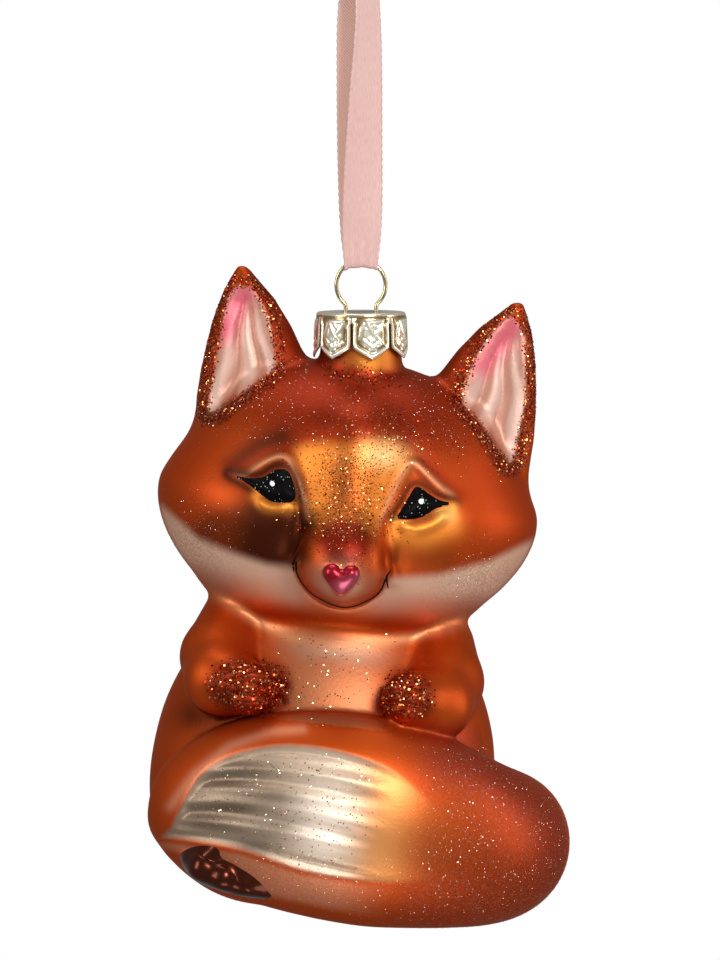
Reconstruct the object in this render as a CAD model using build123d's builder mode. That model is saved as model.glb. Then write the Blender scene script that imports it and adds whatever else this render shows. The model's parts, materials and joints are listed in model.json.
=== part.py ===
"""Hanging glass fox: a hollow blown-glass figure with a stamped cap, a spring wire hanger and a ribbon.

The figure leans by a few degrees, as it hangs from its neck with a heavy tail on one side.
Lengths are millimetres. +Z is up, the fox looks along -Y, and +X is on the viewer's right.
The origin is the inside top of the ribbon loop, where a hook or twig carries the ornament.
"""

import os
from math import asin, cos, degrees, radians, sin, sqrt, tan

from build123d import *

# Ribbon loop and its knot
ribbon_drop = 42.0
ribbon_width = 6.1
ribbon_fold_width = 4.8
ribbon_gather_length = 5.5
ribbon_thickness = 0.24
ribbon_slack = 0.06
hook_radius = 3.2
knot_width = 7.0
knot_depth = 4.6
knot_height = 4.4
knot_round = 1.8
tail_end_length = 11.0
tail_end_angle = 26.0

# Spring wire hanger
wire_radius = 0.3
ring_radius = 3.72
ring_standoff = 4.0
ring_foot_radius = 1.0
leg_spacing = 4.6
leg_straight = 4.2
leg_bend_radius = 3.0
leg_splay_angle = 24.0
leg_end_drop = 4.6
leg_clearance = 0.15

# Stamped cap
cap_radius = 6.75
cap_flare = 0.3
cap_height = 6.9
cap_sheet = 0.3
cap_edge_round = 0.8
cap_seat_gap = 0.05
petal_count = 7
petal_turn = 8.0
petal_point = 1.7
petal_slit = 0.45
petal_slit_height = 1.6
petal_boss_radius = 1.3
petal_boss_height = 0.35
petal_boss_taper = 30.0
petal_tip = 0.35
wire_hole_radius = 0.45

# Glass neck and wall
fox_lean = 6.5
figure_across = 0.5
figure_back = 2.6
glass_wall = 1.0
hollow_sides = 24
neck_radius = 6.15
neck_height = 7.0
neck_lip_round = 0.3
neck_foot_depth = 4.0

# Head
head_half_width = 29.0
head_half_depth = 21.0
head_dome_height = 22.4
head_lower_height = 22.0
head_back = 0.5
muzzle_half_width = 8.2
muzzle_half_height = 7.2
muzzle_reach = 28.0
muzzle_root = 12.0
muzzle_level = 30.4
nose_width = 5.2
nose_height = 4.9
nose_proud = 0.7
nose_sunk = 3.0
nose_level = 32.4
nose_tip_round = 0.7
nose_taper = 6.0

# Ears
ear_across = 17.6
ear_shift = 1.5
ear_height = 12.4
ear_root_level = 15.0
ear_half_width = 9.3
ear_half_thick = 4.8
ear_lean = 3.4
ear_back = 1.0
ear_scoop_depth = 1.3
ear_rim = 1.9

# Body and limbs
body_half_width = 26.0
body_half_depth = 20.4
body_height = 45.6
body_top_level = 38.6
body_across = 0.6
body_back = 1.0
arm_across = 17.4
arm_forward = 20.4
arm_level = 47.5
arm_half_thick = 6.2
arm_half_height = 8.0
tail_across = 29.2
tail_forward = 19.4
tail_level = 69.0
tail_half_thick = 10.3
tail_half_height = 15.6
foot_across = 12.2
foot_forward = 15.0
foot_level = 79.4
foot_half_width = 8.4
foot_half_height = 3.8
foot_length = 11.0

# Shares of each form's own sizes, from its top down or from its root outwards
dome_turn_shares = (0.13, 0.29, 0.47, 0.67, 0.87, 1.00)
# down, half width, half depth
head_lower_shares = (
    (0.19, 0.972, 0.99), (0.38, 0.893, 0.95), (0.56, 0.776, 0.88), (0.73, 0.655, 0.77),
    (0.86, 0.520, 0.63), (0.95, 0.340, 0.43), (1.00, 0.150, 0.20),
)
body_shares = (
    (0.00, 0.56, 0.54), (0.10, 0.67, 0.66), (0.22, 0.82, 0.80), (0.38, 0.95, 0.94), (0.55, 1.00, 1.00),
    (0.74, 0.95, 0.96), (0.88, 0.81, 0.82), (0.96, 0.59, 0.60), (1.00, 0.30, 0.30),
)
# outwards, half width, half height
muzzle_shares = ((0.00, 1.90, 1.90), (0.45, 1.42, 1.36), (0.75, 1.04, 1.02), (0.92, 0.72, 0.70), (1.00, 0.36, 0.34))
foot_shares = ((0.00, 0.90, 1.10), (0.35, 1.00, 1.05), (0.70, 0.90, 0.90), (0.91, 0.60, 0.58), (1.00, 0.28, 0.26))
# up, half width, half thickness
ear_shares = (
    (0.00, 1.00, 1.00), (0.28, 0.98, 0.98), (0.55, 0.82, 0.84), (0.70, 0.65, 0.66), (0.84, 0.42, 0.44),
    (0.94, 0.22, 0.25), (1.00, 0.07, 0.09),
)
# across, forward, level, half thickness, half height
arm_shares = (
    (0.88, -0.06, 0.850, 0.55, 0.45), (1.00, 0.25, 0.930, 0.90, 0.90), (0.98, 0.56, 1.015, 0.96, 0.96),
    (0.84, 0.84, 1.060, 0.88, 0.76), (0.64, 1.00, 1.050, 0.80, 0.62), (0.46, 1.04, 1.040, 0.44, 0.40),
)
tail_shares = (
    (0.16, -0.62, 1.000, 0.40, 0.36), (0.80, -0.60, 1.010, 0.74, 0.66), (1.00, -0.04, 1.020, 0.97, 0.80),
    (0.82, 0.62, 1.010, 1.00, 0.92), (0.30, 0.98, 0.995, 1.00, 1.00), (-0.24, 0.98, 1.000, 0.90, 0.90),
    (-0.60, 0.76, 1.030, 0.62, 0.62), (-0.78, 0.56, 1.060, 0.22, 0.22),
)

# Heights and places that follow from the sizes above
ring_wire_top = ring_radius + wire_radius
ring_wire_low = sqrt((ring_radius - wire_radius) ** 2 - (ribbon_fold_width / 2) ** 2)
swing_above_ring = (ring_wire_top + ring_wire_low) / 2
fold_radius = (ring_wire_top - ring_wire_low) / 2 + ribbon_slack
swing_z = -ribbon_drop + fold_radius
ring_centre_z = swing_z - swing_above_ring
cap_top_z = ring_centre_z - ring_standoff
neck_rim_z = cap_top_z - cap_sheet - cap_seat_gap
crown_z = neck_rim_z - neck_height
bore_radius = neck_radius - glass_wall
cut_overrun = neck_height
lean = radians(fox_lean)
hollow_swell = sqrt(radians(360 / hollow_sides) / sin(radians(360 / hollow_sides)))
fox = Plane(origin=(figure_across, figure_back, crown_z), x_dir=(cos(lean), 0, -sin(lean)),
            z_dir=(sin(lean), 0, cos(lean)))
print("ribbon fold radius", round(fold_radius, 3), "hook radius", hook_radius, "swing axis z", round(swing_z, 3))


def slice_on(plane, half_width, half_depth, inset):
    """One slice of a form: an ellipse outside, and for the plain hollow a polygon inside it."""
    with BuildSketch(plane, mode=Mode.PRIVATE) as slice_:
        if inset:
            turns = [radians(360 * step / hollow_sides) for step in range(hollow_sides)]
            Polygon(*[(half_width * hollow_swell * cos(turn), half_depth * hollow_swell * sin(turn))
                      for turn in turns], align=None)
        else:
            Ellipse(half_width, half_depth)
    return slice_.sketch


def stack(stations, inset):
    """Loft through slices at levels of the leaning figure: across, back, level, half sizes."""
    slices = []
    for across, back, level, half_width, half_depth in stations:
        middle = fox.from_local_coords((across, back, level))
        slices.append(slice_on(Plane(middle, x_dir=fox.x_dir, z_dir=fox.z_dir), half_width, half_depth, inset))
    loft(slices)


def head_stations(inset):
    """The domed crown as a quarter ellipse, then the cheeks drawn in to the chin."""
    for share in dome_turn_shares:
        turn = radians(90 * share)
        level = -head_dome_height + (head_dome_height - inset) * cos(turn)
        half_width = (head_half_width - inset) * sin(turn)
        yield 0, head_back, level, half_width, (head_half_depth - inset) * sin(turn)
    for down, wide, deep in head_lower_shares:
        level = -head_dome_height - (head_lower_height - inset) * down
        yield 0, head_back, level, (head_half_width - inset) * wide, (head_half_depth - inset) * deep


def body_stations(inset):
    """The seated body, widest at the haunches and rounded under the base."""
    for down, wide, deep in body_shares:
        level = -body_top_level - (body_height - inset) * down
        yield body_across, body_back, level, (body_half_width - inset) * wide, (body_half_depth - inset) * deep


def limb(points, half_sizes, inset):
    """Loft through ellipses square to a curved spine that is given in the figure's own frame."""
    with BuildLine(fox, mode=Mode.PRIVATE) as spine:
        Spline(*points)
    curve = spine.line
    slices = []
    for index, (thick, high) in enumerate(half_sizes):
        along = curve % (index / (len(half_sizes) - 1))
        middle = curve @ (index / (len(half_sizes) - 1))
        square = Plane(middle, x_dir=along.cross(fox.z_dir), z_dir=along)
        slices.append(slice_on(square, max(thick - inset, inset), max(high - inset, inset), inset))
    loft(slices)


def arm(side, inset):
    points = [(side * arm_across * a, -arm_forward * f, -arm_level * v) for a, f, v, _, _ in arm_shares]
    limb(points, [(arm_half_thick * t, arm_half_height * h) for *_, t, h in arm_shares], inset)


def tail(inset):
    points = [(tail_across * a, -tail_forward * f, -tail_level * v) for a, f, v, _, _ in tail_shares]
    limb(points, [(tail_half_thick * t, tail_half_height * h) for *_, t, h in tail_shares], inset)


def muzzle(inset):
    """The snout, lofted forwards out of the face."""
    length = muzzle_reach - muzzle_root - inset
    slices = []
    for along, wide, high in muzzle_shares:
        middle = fox.from_local_coords((0, -muzzle_root - length * along, -muzzle_level))
        face = Plane(middle, x_dir=fox.x_dir, z_dir=(0, -1, 0))
        slices.append(slice_on(face, max(muzzle_half_width * wide - inset, inset),
                               max(muzzle_half_height * high - inset, inset), inset))
    loft(slices)


def ear_slice(side, up, half_width, half_thick, forward, inset):
    """One level slice of an ear, the whole ear leaning outwards as it rises."""
    across = side * (ear_across + ear_lean * (up - ear_shares[2][0])) + ear_shift
    height = (ear_height + ear_root_level - inset) * up - ear_root_level
    middle = fox.from_local_coords((across, ear_back - forward, height))
    return slice_on(Plane(middle, x_dir=fox.x_dir, z_dir=fox.z_dir), half_width, half_thick, inset)


def ear(side, inset):
    """A pointed ear, scooped out in front, so that a rim stands round the hollow."""
    with BuildPart() as ear_form:
        loft([ear_slice(side, up, max(ear_half_width * wide - inset, inset / 4),
                        max(ear_half_thick * thick - inset, inset / 4), 0, inset)
              for up, wide, thick in ear_shares])
        scoop = [(up, ear_half_width * wide - ear_rim, ear_half_thick * thick)
                 for up, wide, thick in ear_shares[1:-2]]
        loft([ear_slice(side, up, half_width + inset, ear_scoop_depth + inset, half_thick, inset)
              for up, half_width, half_thick in scoop], mode=Mode.SUBTRACT)
    return ear_form.part


def foot(inset):
    """The hind foot that shows under the tail, flattened, with rounded toes."""
    slices = []
    for along, wide, high in foot_shares:
        middle = fox.from_local_coords((-foot_across, -foot_forward - (foot_length - inset) * along, -foot_level))
        slices.append(slice_on(Plane(middle, x_dir=fox.x_dir, z_dir=(0, -1, 0)),
                               max(foot_half_width * wide - inset, inset),
                               max(foot_half_height * high - inset, inset), inset))
    loft(slices)


def figure_form(inset, ears):
    """Every form of the figure fused into one, drawn in by the wall where it is the hollow inside."""
    stack(head_stations(inset), inset)
    stack(body_stations(inset), inset)
    muzzle(inset)
    tail(inset)
    foot(inset)
    for side in (-1, 1):
        arm(side, inset)
    add(ears)


ears = [ear(side, 0) for side in (-1, 1)]
ear_hollows = [ear(side, glass_wall) for side in (-1, 1)]

with BuildPart() as hollow:
    figure_form(glass_wall, ear_hollows)

nose_front = fox.from_local_coords((0, -muzzle_reach + nose_sunk, -nose_level))
nose_plane = Plane(nose_front, x_dir=fox.x_dir, z_dir=(0, -1, 0))

with BuildPart() as glass_body:
    figure_form(0, ears)
    with BuildSketch(Plane.XY.offset(crown_z - neck_foot_depth)):
        Circle(neck_radius)
    extrude(amount=neck_foot_depth + neck_height)
    add(hollow.part, mode=Mode.SUBTRACT)
    for side in (-1, 1):
        with BuildSketch(nose_plane) as lobe:
            with Locations((side * nose_width / 4, nose_height / 2 - nose_width / 4)):
                Circle(nose_width / 4)
            with Locations((0, nose_tip_round - nose_height / 2)):
                Circle(nose_tip_round)
            make_hull()
        extrude(amount=nose_proud + nose_sunk, taper=nose_taper)
    with BuildSketch(Plane.XY.offset(neck_rim_z)):
        Circle(bore_radius)
    extrude(amount=-neck_height - neck_foot_depth - glass_wall, mode=Mode.SUBTRACT)
    rim = glass_body.edges().filter_by(GeomType.CIRCLE).group_by(Axis.Z)[-1]
    fillet(rim, radius=neck_lip_round)

# The cap is pressed from sheet: a flat top, a rounded edge and a flared skirt cut into pointed petals
skirt_z = cap_top_z - cap_height
skirt_radius = cap_radius + cap_flare
petal_half = skirt_radius * tan(radians(180 / petal_count))


def petal_plane(index, height):
    """A plane square to the cap's radius, turned to a petal or, half a step on, to the slit beside it."""
    turn = radians(petal_turn + 360 / petal_count * index)
    return Plane(origin=(0, 0, height), x_dir=(cos(turn), sin(turn), 0), z_dir=(sin(turn), -cos(turn), 0))


with BuildPart() as cap:
    with BuildSketch(Plane.XZ):
        with BuildLine():
            FilletPolyline((0, cap_top_z), (cap_radius, cap_top_z), (skirt_radius, skirt_z), radius=cap_edge_round)
            Polyline((skirt_radius, skirt_z), (0, skirt_z), (0, cap_top_z))
        make_face()
    revolve(axis=Axis.Z)
    offset(amount=-cap_sheet, openings=cap.faces().sort_by(Axis.Z)[0])
    for index in range(petal_count):
        with BuildSketch(petal_plane(index, (cap_top_z + skirt_z) / 2).offset(cap_radius - cap_sheet / 2)):
            Circle(petal_boss_radius)
        extrude(amount=cap_sheet + petal_boss_height, taper=petal_boss_taper)
        with BuildSketch(petal_plane(index + 1 / 2, skirt_z)):
            with BuildLine():
                Polyline((-petal_half + petal_tip, 0), (-petal_slit / 2, petal_point),
                         (-petal_slit / 2, petal_point + petal_slit_height),
                         (petal_slit / 2, petal_point + petal_slit_height), (petal_slit / 2, petal_point),
                         (petal_half - petal_tip, 0), (0, -petal_point), close=True)
            make_face()
        extrude(amount=skirt_radius + cut_overrun, mode=Mode.SUBTRACT)
    with BuildSketch(Plane.XY.offset(cap_top_z)):
        with Locations((-leg_spacing / 2, 0), (leg_spacing / 2, 0)):
            Circle(wire_hole_radius)
    extrude(amount=-cap_sheet - cap_seat_gap, mode=Mode.SUBTRACT)

# The hanger is one spring wire: a ring whose ends turn down through the cap and spread inside the neck
foot_turn = degrees(asin((leg_spacing / 2 + ring_foot_radius) / (ring_radius + ring_foot_radius)))
leg_reach = bore_radius - leg_clearance - wire_radius - leg_spacing / 2
bends_reach = 2 * leg_bend_radius * (1 - cos(radians(leg_splay_angle)))
splay_length = (leg_reach - bends_reach) / sin(radians(leg_splay_angle))

with BuildPart() as hanger_wire:
    with BuildLine(Plane.XZ):
        ring = CenterArc((0, ring_centre_z), ring_radius, 90, foot_turn - 180)
        shank = JernArc(ring @ 1, ring % 1, ring_foot_radius, 90 - foot_turn)
        leg = Line(shank @ 1, (leg_spacing / 2, cap_top_z - leg_straight))
        knee = JernArc(leg @ 1, leg % 1, leg_bend_radius, leg_splay_angle)
        splay = Line(knee @ 1, knee @ 1 + knee % 1 * splay_length)
        ankle = JernArc(splay @ 1, splay % 1, leg_bend_radius, -leg_splay_angle)
        Line(ankle @ 1, ankle @ 1 + ankle % 1 * leg_end_drop)
    with BuildSketch(Plane(ring @ 0, z_dir=ring % 0)):
        Circle(wire_radius)
    sweep()
    mirror(about=Plane.YZ)

# The ribbon runs down from the hook, folds round the ring's wire and runs up again behind
def ribbon_side(thickness):
    """The side view of the taut loop: a belt round the hook above and the ring's wire below."""
    with BuildSketch(Plane.YZ, mode=Mode.PRIVATE) as side_view:
        with Locations((0, -hook_radius)):
            Circle(hook_radius + thickness)
        with Locations((0, swing_z)):
            Circle(fold_radius + thickness)
        make_hull()
    return side_view.sketch


with BuildPart() as ribbon_loop:
    add(extrude(ribbon_side(ribbon_thickness), amount=ribbon_width / 2, both=True, mode=Mode.PRIVATE))
    add(extrude(ribbon_side(0), amount=ribbon_width, both=True, mode=Mode.PRIVATE), mode=Mode.SUBTRACT)
    with BuildSketch(Plane.XZ):
        with BuildLine():
            Polyline((ribbon_fold_width / 2, -ribbon_drop - ribbon_width), (ribbon_fold_width / 2, swing_z),
                     (ribbon_width / 2, swing_z + ribbon_gather_length), (ribbon_width / 2, ribbon_width),
                     (0, ribbon_width), (0, -ribbon_drop - ribbon_width), close=True)
        make_face()
        mirror(about=Plane.YZ)
    extrude(amount=ribbon_width, both=True, mode=Mode.INTERSECT)

# Both ends of the ribbon are tied in one knot above the loop, with two slanted tails
with BuildPart() as ribbon_knot:
    with Locations((0, 0, ribbon_thickness / 2)):
        Box(knot_width, knot_depth, knot_height, align=(Align.CENTER, Align.CENTER, Align.MIN))
    fillet(ribbon_knot.edges(), radius=knot_round)
    with BuildSketch(Plane.XZ):
        for side in (-1, 1):
            with Locations(Location((0, knot_height / 2, 0), (0, 0, side * tail_end_angle))):
                Rectangle(ribbon_width, tail_end_length, align=(Align.CENTER, Align.MIN))
    extrude(amount=ribbon_thickness / 2, both=True)
    add(ribbon_loop.part, mode=Mode.SUBTRACT)

os.makedirs("parts", exist_ok=True)
pieces = {"glass_body": glass_body, "cap": cap, "hanger_wire": hanger_wire,
          "ribbon_loop": ribbon_loop, "ribbon_knot": ribbon_knot}
for name, piece in pieces.items():
    piece.part.label = name
    export_step(piece.part, f"parts/{name}.step")
    print(name, piece.part.is_valid, len(piece.part.solids()), round(piece.part.volume, 1))
print("middle of the glass", glass_body.part.center())
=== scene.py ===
"""The looks of a hanging glass fox ornament, laid out as an add-on and run as a script."""

import json
from functools import cache
from math import atan2, cos, hypot, pi, radians, sin

import bmesh
import bpy
import numpy as np
import openvdb
from bpy.props import FloatProperty, FloatVectorProperty, IntProperty, PointerProperty
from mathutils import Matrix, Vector
from mathutils.bvhtree import BVHTree
from mathutils.geometry import delaunay_2d_cdt

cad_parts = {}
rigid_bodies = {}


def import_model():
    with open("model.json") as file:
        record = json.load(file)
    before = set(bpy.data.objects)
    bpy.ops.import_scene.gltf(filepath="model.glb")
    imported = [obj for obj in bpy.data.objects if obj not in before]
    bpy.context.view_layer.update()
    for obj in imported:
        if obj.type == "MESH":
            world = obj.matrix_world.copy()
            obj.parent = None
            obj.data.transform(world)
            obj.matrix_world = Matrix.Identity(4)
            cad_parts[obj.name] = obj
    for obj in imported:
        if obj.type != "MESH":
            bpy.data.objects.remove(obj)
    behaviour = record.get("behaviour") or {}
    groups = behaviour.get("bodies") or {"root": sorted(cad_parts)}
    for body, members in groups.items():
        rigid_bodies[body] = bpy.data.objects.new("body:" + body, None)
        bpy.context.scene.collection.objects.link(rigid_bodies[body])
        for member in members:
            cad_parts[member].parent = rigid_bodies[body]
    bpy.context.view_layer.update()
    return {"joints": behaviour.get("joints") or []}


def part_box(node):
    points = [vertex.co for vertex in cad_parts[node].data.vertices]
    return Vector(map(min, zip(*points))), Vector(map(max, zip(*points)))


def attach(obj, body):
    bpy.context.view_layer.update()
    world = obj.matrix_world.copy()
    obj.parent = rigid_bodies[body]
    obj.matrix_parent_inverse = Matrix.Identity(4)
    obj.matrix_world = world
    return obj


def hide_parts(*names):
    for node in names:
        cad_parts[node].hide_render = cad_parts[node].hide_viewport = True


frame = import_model()

bl_info = {
    "name": "Glass Fox Ornament",
    "version": (1, 0, 0),
    "blender": (4, 5, 0),
    "location": "3D View > Sidebar > Glass Fox",
    "description": "Builds the finish of a blown-glass fox on its packed frame",
    "category": "Object",
}

MM = 0.001

# Places taken from the frame, in metres
CAP_LOW, CAP_HIGH = (Vector(corner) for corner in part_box("cap"))
RING_HIGH = Vector(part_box("hanger_wire")[1])
SWING_Z = next(joint["pos_m"][2] for joint in frame["joints"] if joint["name"] == "ribbon_swing")

# Ribbon, ring and its wire, in millimetres
RIBBON_WIDTH = 6.1
RING_RADIUS = 3.72
WIRE_RADIUS = 0.3

# The figure leans round the foot of its neck; lengths in its own frame are millimetres
LEAN = radians(6.5)
NECK_HEIGHT = 7.0
NECK_RADIUS = 6.15
NECK_BORE = 5.15
CROWN = np.array([0.5, 2.6, CAP_HIGH.z / MM - 0.35 - NECK_HEIGHT])
TO_ROW = np.array([[cos(LEAN), 0, sin(LEAN)], [0, 1, 0], [-sin(LEAN), 0, cos(LEAN)]])

# The camera looks from a little above; marks on the face are set where it sees them
VIEW_LIFT = radians(4.5)
VIEW_DISTANCE = 850.0
VIEW_AIM = np.array([-0.15, 0.0, -73.9])
VIEW_HEIGHT = 145.45
SENSOR_HEIGHT = 24.0

# Marks read off the figure, across and up in millimetres as seen from the front
EYE_L = ((-18.5, -19.45), (-15.6, -19.7), (-13.2, -19.3), (-11.9, -18.2), (-10.7, -17.8), (-9.6, -18.0),
         (-8.6, -19.6), (-8.0, -22.2), (-9.6, -22.9), (-11.5, -22.9), (-13.0, -22.2), (-14.2, -21.4),
         (-15.9, -20.45))
EYE_R = ((7.6, -23.2), (8.6, -20.8), (9.4, -18.9), (10.0, -18.1), (10.9, -18.3), (11.9, -18.9),
         (13.6, -19.7), (15.9, -20.1), (14.4, -20.7), (13.1, -21.3), (12.0, -22.3), (11.1, -22.8), (9.8, -23.2))
LID_L = ((-18.5, -18.8), (-17.0, -19.2), (-15.7, -19.0), (-14.4, -17.9), (-13.2, -17.0), (-11.8, -16.2),
         (-10.6, -15.9), (-9.6, -16.3), (-8.9, -17.4), (-7.7, -19.6), (-6.9, -21.8), (-5.8, -24.7))
LID_R = ((16.6, -19.4), (15.3, -18.7), (14.1, -18.0), (12.9, -17.2), (11.5, -16.1), (10.2, -15.1),
         (9.2, -14.6), (8.4, -14.9), (7.4, -17.1), (6.6, -19.3), (5.9, -21.5), (5.2, -24.4))
BAG_L = ((-13.9, -22.3), (-12.7, -23.4), (-11.4, -23.8), (-9.7, -23.6), (-8.1, -23.0))
BAG_R = ((7.7, -23.6), (8.5, -24.3), (9.5, -24.6), (10.8, -24.7), (12.0, -24.3), (13.5, -23.5), (14.6, -22.4),
         (15.9, -20.7))
MOUTH = ((-6.8, -31.5), (-6.6, -33.0), (-5.9, -34.2), (-4.9, -35.3), (-3.7, -36.2), (-2.3, -36.8), (-0.5, -37.4),
         (1.3, -37.6), (3.0, -37.1), (4.4, -36.3), (5.5, -35.5), (6.3, -34.6), (6.7, -33.7), (6.9, -32.7))
NOSE = ((0.2, -31.9), (-0.6, -31.3), (-1.5, -31.2), (-2.4, -31.7), (-2.7, -32.5), (-2.4, -33.4), (-1.4, -34.5),
        (-0.5, -35.5), (0.5, -36.0), (1.4, -35.3), (2.3, -34.2), (2.9, -33.2), (3.1, -32.2), (2.7, -31.4),
        (1.9, -31.1), (1.0, -31.2))
EAR_L = ((-20.0, 9.2), (-21.0, 8.1), (-21.6, 6.8), (-21.9, 2.1), (-22.2, -2.0), (-22.4, -5.5), (-22.4, -10.8),
         (-18.8, -7.9), (-15.1, -4.7), (-13.5, -2.7), (-13.7, -0.7), (-15.2, 4.4), (-17.1, 7.7), (-18.6, 9.0))
EAR_R = ((20.7, 9.0), (21.7, 8.8), (22.5, 8.0), (23.8, 6.3), (24.3, 2.1), (25.0, -2.7), (24.5, -8.1), (23.9, -13.1),
         (21.8, -11.3), (19.7, -8.7), (17.5, -6.5), (15.6, -4.9), (15.6, -1.8), (17.0, 2.9), (19.2, 6.8))
PAW_L = ((-18.0, -52.3), (-18.2, -50.4), (-17.2, -48.9), (-13.6, -47.2), (-9.3, -47.1), (-6.3, -48.2), (-5.7, -50.9),
         (-7.0, -54.1), (-10.4, -55.4), (-15.0, -54.7))
PAW_R = ((8.2, -51.3), (8.4, -49.3), (9.3, -46.9), (11.0, -46.0), (13.6, -46.6), (16.2, -49.0), (15.9, -51.6),
         (13.9, -53.0), (10.9, -53.4), (9.0, -52.6))
# Depth and marks of the grooves between the paws' toes
PAW_GROOVES = ((0.55, ((-14.6, -50.4), (-11.0, -49.9), (-6.4, -50.3))),
               (0.55, ((-13.8, -52.8), (-10.0, -52.3), (-6.6, -52.7))),
               (0.5, ((9.0, -49.6), (12.0, -48.9), (14.6, -49.2))),
               (0.5, ((9.2, -51.6), (12.0, -51.2), (14.4, -51.6))))
FOOT = ((-19.3, -78.2), (-18.9, -77.1), (-17.4, -76.2), (-15.7, -75.8), (-13.7, -75.9), (-12.9, -77.4),
        (-10.8, -78.2), (-7.6, -79.8), (-5.1, -81.8), (-4.7, -82.6), (-7.0, -83.0), (-9.5, -82.9),
        (-14.2, -82.1), (-17.4, -80.8))
WHITE_TOP = ((-22.4, -75.2), (-21.2, -74.0), (-19.8, -69.8), (-17.6, -65.2), (-14.4, -62.4), (-10.5, -60.6),
             (-4.6, -59.2), (3.1, -59.4), (10.9, -61.2), (17.4, -65.1), (24.0, -70.0))
WHITE_LOW = ((-22.4, -75.4), (-18.8, -75.3), (-10.3, -75.8), (-0.9, -77.8), (8.3, -78.3), (16.0, -77.8),
             (24.0, -76.0))
PATCH = ((-21.8, -28.3), (-19.0, -26.1), (-14.5, -23.8), (-10.3, -24.4), (-6.9, -22.4), (-5.4, -25.6), (-6.6, -28.0),
         (-6.6, -31.5), (-11.0, -32.2), (-16.3, -31.0), (-21.7, -29.6))
BRIDGE = ((-8.9, -16.0), (-6.8, -13.8), (-1.0, -13.2), (4.6, -12.0), (8.8, -14.4), (6.8, -18.3), (5.4, -22.7),
          (4.4, -25.9), (-4.3, -25.9), (-6.4, -20.3))
# Middles of the dark smudges in the tail's pale field
TAIL_SHADES = ((-10.5, -63.4), (-12.0, -69.6), (-6.0, -67.3), (-8.0, -75.0), (-15.5, -72.0), (-13.0, -66.0),
               (-4.0, -71.5))
DOT_SIZE = 0.36

# The sculpting block, in millimetres of the figure's own frame
CELL = 0.42
BLOCK_LOW = (-32.0, -32.5, -86.5)
BLOCK_HIGH = (42.5, 24.5, 14.6)

# Level and share of the half width, for the head and the body
HEAD_SIZE = (29.0, 21.0)
HEAD_PLACE = (0.0, 0.5)
HEAD_LEVELS = ((0.0, 0.0), (-2.0, 0.395), (-5.0, 0.60), (-8.0, 0.725), (-11.0, 0.805), (-14.0, 0.868), (-16.5, 0.918),
               (-19.0, 0.965), (-22.4, 1.0), (-26.6, 0.972), (-30.8, 0.893), (-34.7, 0.776), (-38.5, 0.655),
               (-41.3, 0.52), (-43.3, 0.34), (-44.4, 0.15), (-44.6, 0.0))
BODY_SIZE = (26.3, 20.4)
BODY_PLACE = (0.9, 1.0)
BODY_LEVELS = ((-33.0, 0.0), (-38.6, 0.60), (-43.2, 0.72), (-48.6, 0.86), (-55.9, 0.962), (-62.0, 0.995),
               (-65.0, 1.0), (-70.0, 0.985), (-74.0, 0.94), (-76.0, 0.908), (-78.0, 0.846), (-80.0, 0.76),
               (-82.0, 0.615), (-83.6, 0.38), (-84.4, 0.0))
# Level, middle across, half width and half thickness of an ear
EAR_LEVELS = ((-26.0, 14.6, 7.2, 3.4), (-20.0, 15.5, 9.3, 4.6), (-15.0, 15.9, 9.6, 4.8), (-8.0, 16.4, 9.4, 4.6),
              (-4.0, 16.9, 8.7, 4.3), (0.0, 17.7, 7.5, 3.9), (4.0, 18.6, 6.0, 3.3), (8.0, 19.65, 3.95, 2.5),
              (10.0, 20.35, 2.45, 1.9), (12.0, 20.95, 0.95, 1.1), (12.4, 21.1, 0.3, 0.5))
# How far each ear is moved across, and down
EAR_SHIFTS = {-1: 1.1, 1: 1.25}
EAR_DROPS = {-1: 0.3, 1: 1.1}
# Spine of the tail, from its root behind to its tip in front: across, back, up, half thickness, half height
TAIL_LINE = ((4.7, 12.0, -70.0, 4.1, 5.6), (22.4, 11.4, -71.0, 7.6, 8.8), (29.1, 0.8, -71.0, 10.2, 10.6),
             (24.6, -11.6, -70.0, 10.3, 12.6), (10.0, -18.6, -67.6, 10.2, 15.5), (-6.0, -18.8, -67.4, 9.2, 14.3),
             (-17.0, -15.2, -69.5, 6.2, 9.9), (-22.2, -12.0, -72.0, 2.2, 3.4))


def soft_min(a, b, reach):
    """The nearer of two distances, rounded where they cross within the reach."""
    overlap = np.maximum(reach - np.abs(a - b), 0) / reach
    return np.minimum(a, b) - overlap * overlap * reach / 4


def smooth_step(low, high, value):
    """From 0 at the low value to 1 at the high one, eased at both ends."""
    share = np.clip((value - low) / (high - low), 0, 1)
    return share * share * (3 - 2 * share)


def bump(value, width):
    """A bell of height one."""
    return np.exp(-(value / width) ** 2)


def capsule(u, y, w, start, end, start_radius, end_radius):
    """Signed distance to a rod with round ends of two sizes."""
    du, dy, dw = (b - a for a, b in zip(start, end))
    share = ((u - start[0]) * du + (y - start[1]) * dy + (w - start[2]) * dw) / (du * du + dy * dy + dw * dw)
    share = np.clip(share, 0, 1)
    away = np.sqrt((u - start[0] - share * du) ** 2 + (y - start[1] - share * dy) ** 2
                   + (w - start[2] - share * dw) ** 2)
    return away - start_radius - share * (end_radius - start_radius)


def ellipsoid(u, y, w, middle, size, tilt=0.0):
    """Signed distance to an ellipsoid, turned by the tilt in the front view."""
    du, dy, dw = u - middle[0], y - middle[1], w - middle[2]
    du, dw = du * cos(tilt) + dw * sin(tilt), dw * cos(tilt) - du * sin(tilt)
    near = np.sqrt((du / size[0]) ** 2 + (dy / size[1]) ** 2 + (dw / size[2]) ** 2)
    steep = np.sqrt((du / size[0] ** 2) ** 2 + (dy / size[1] ** 2) ** 2 + (dw / size[2] ** 2) ** 2)
    return near * (near - 1) / np.maximum(steep, 1e-4)


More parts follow.
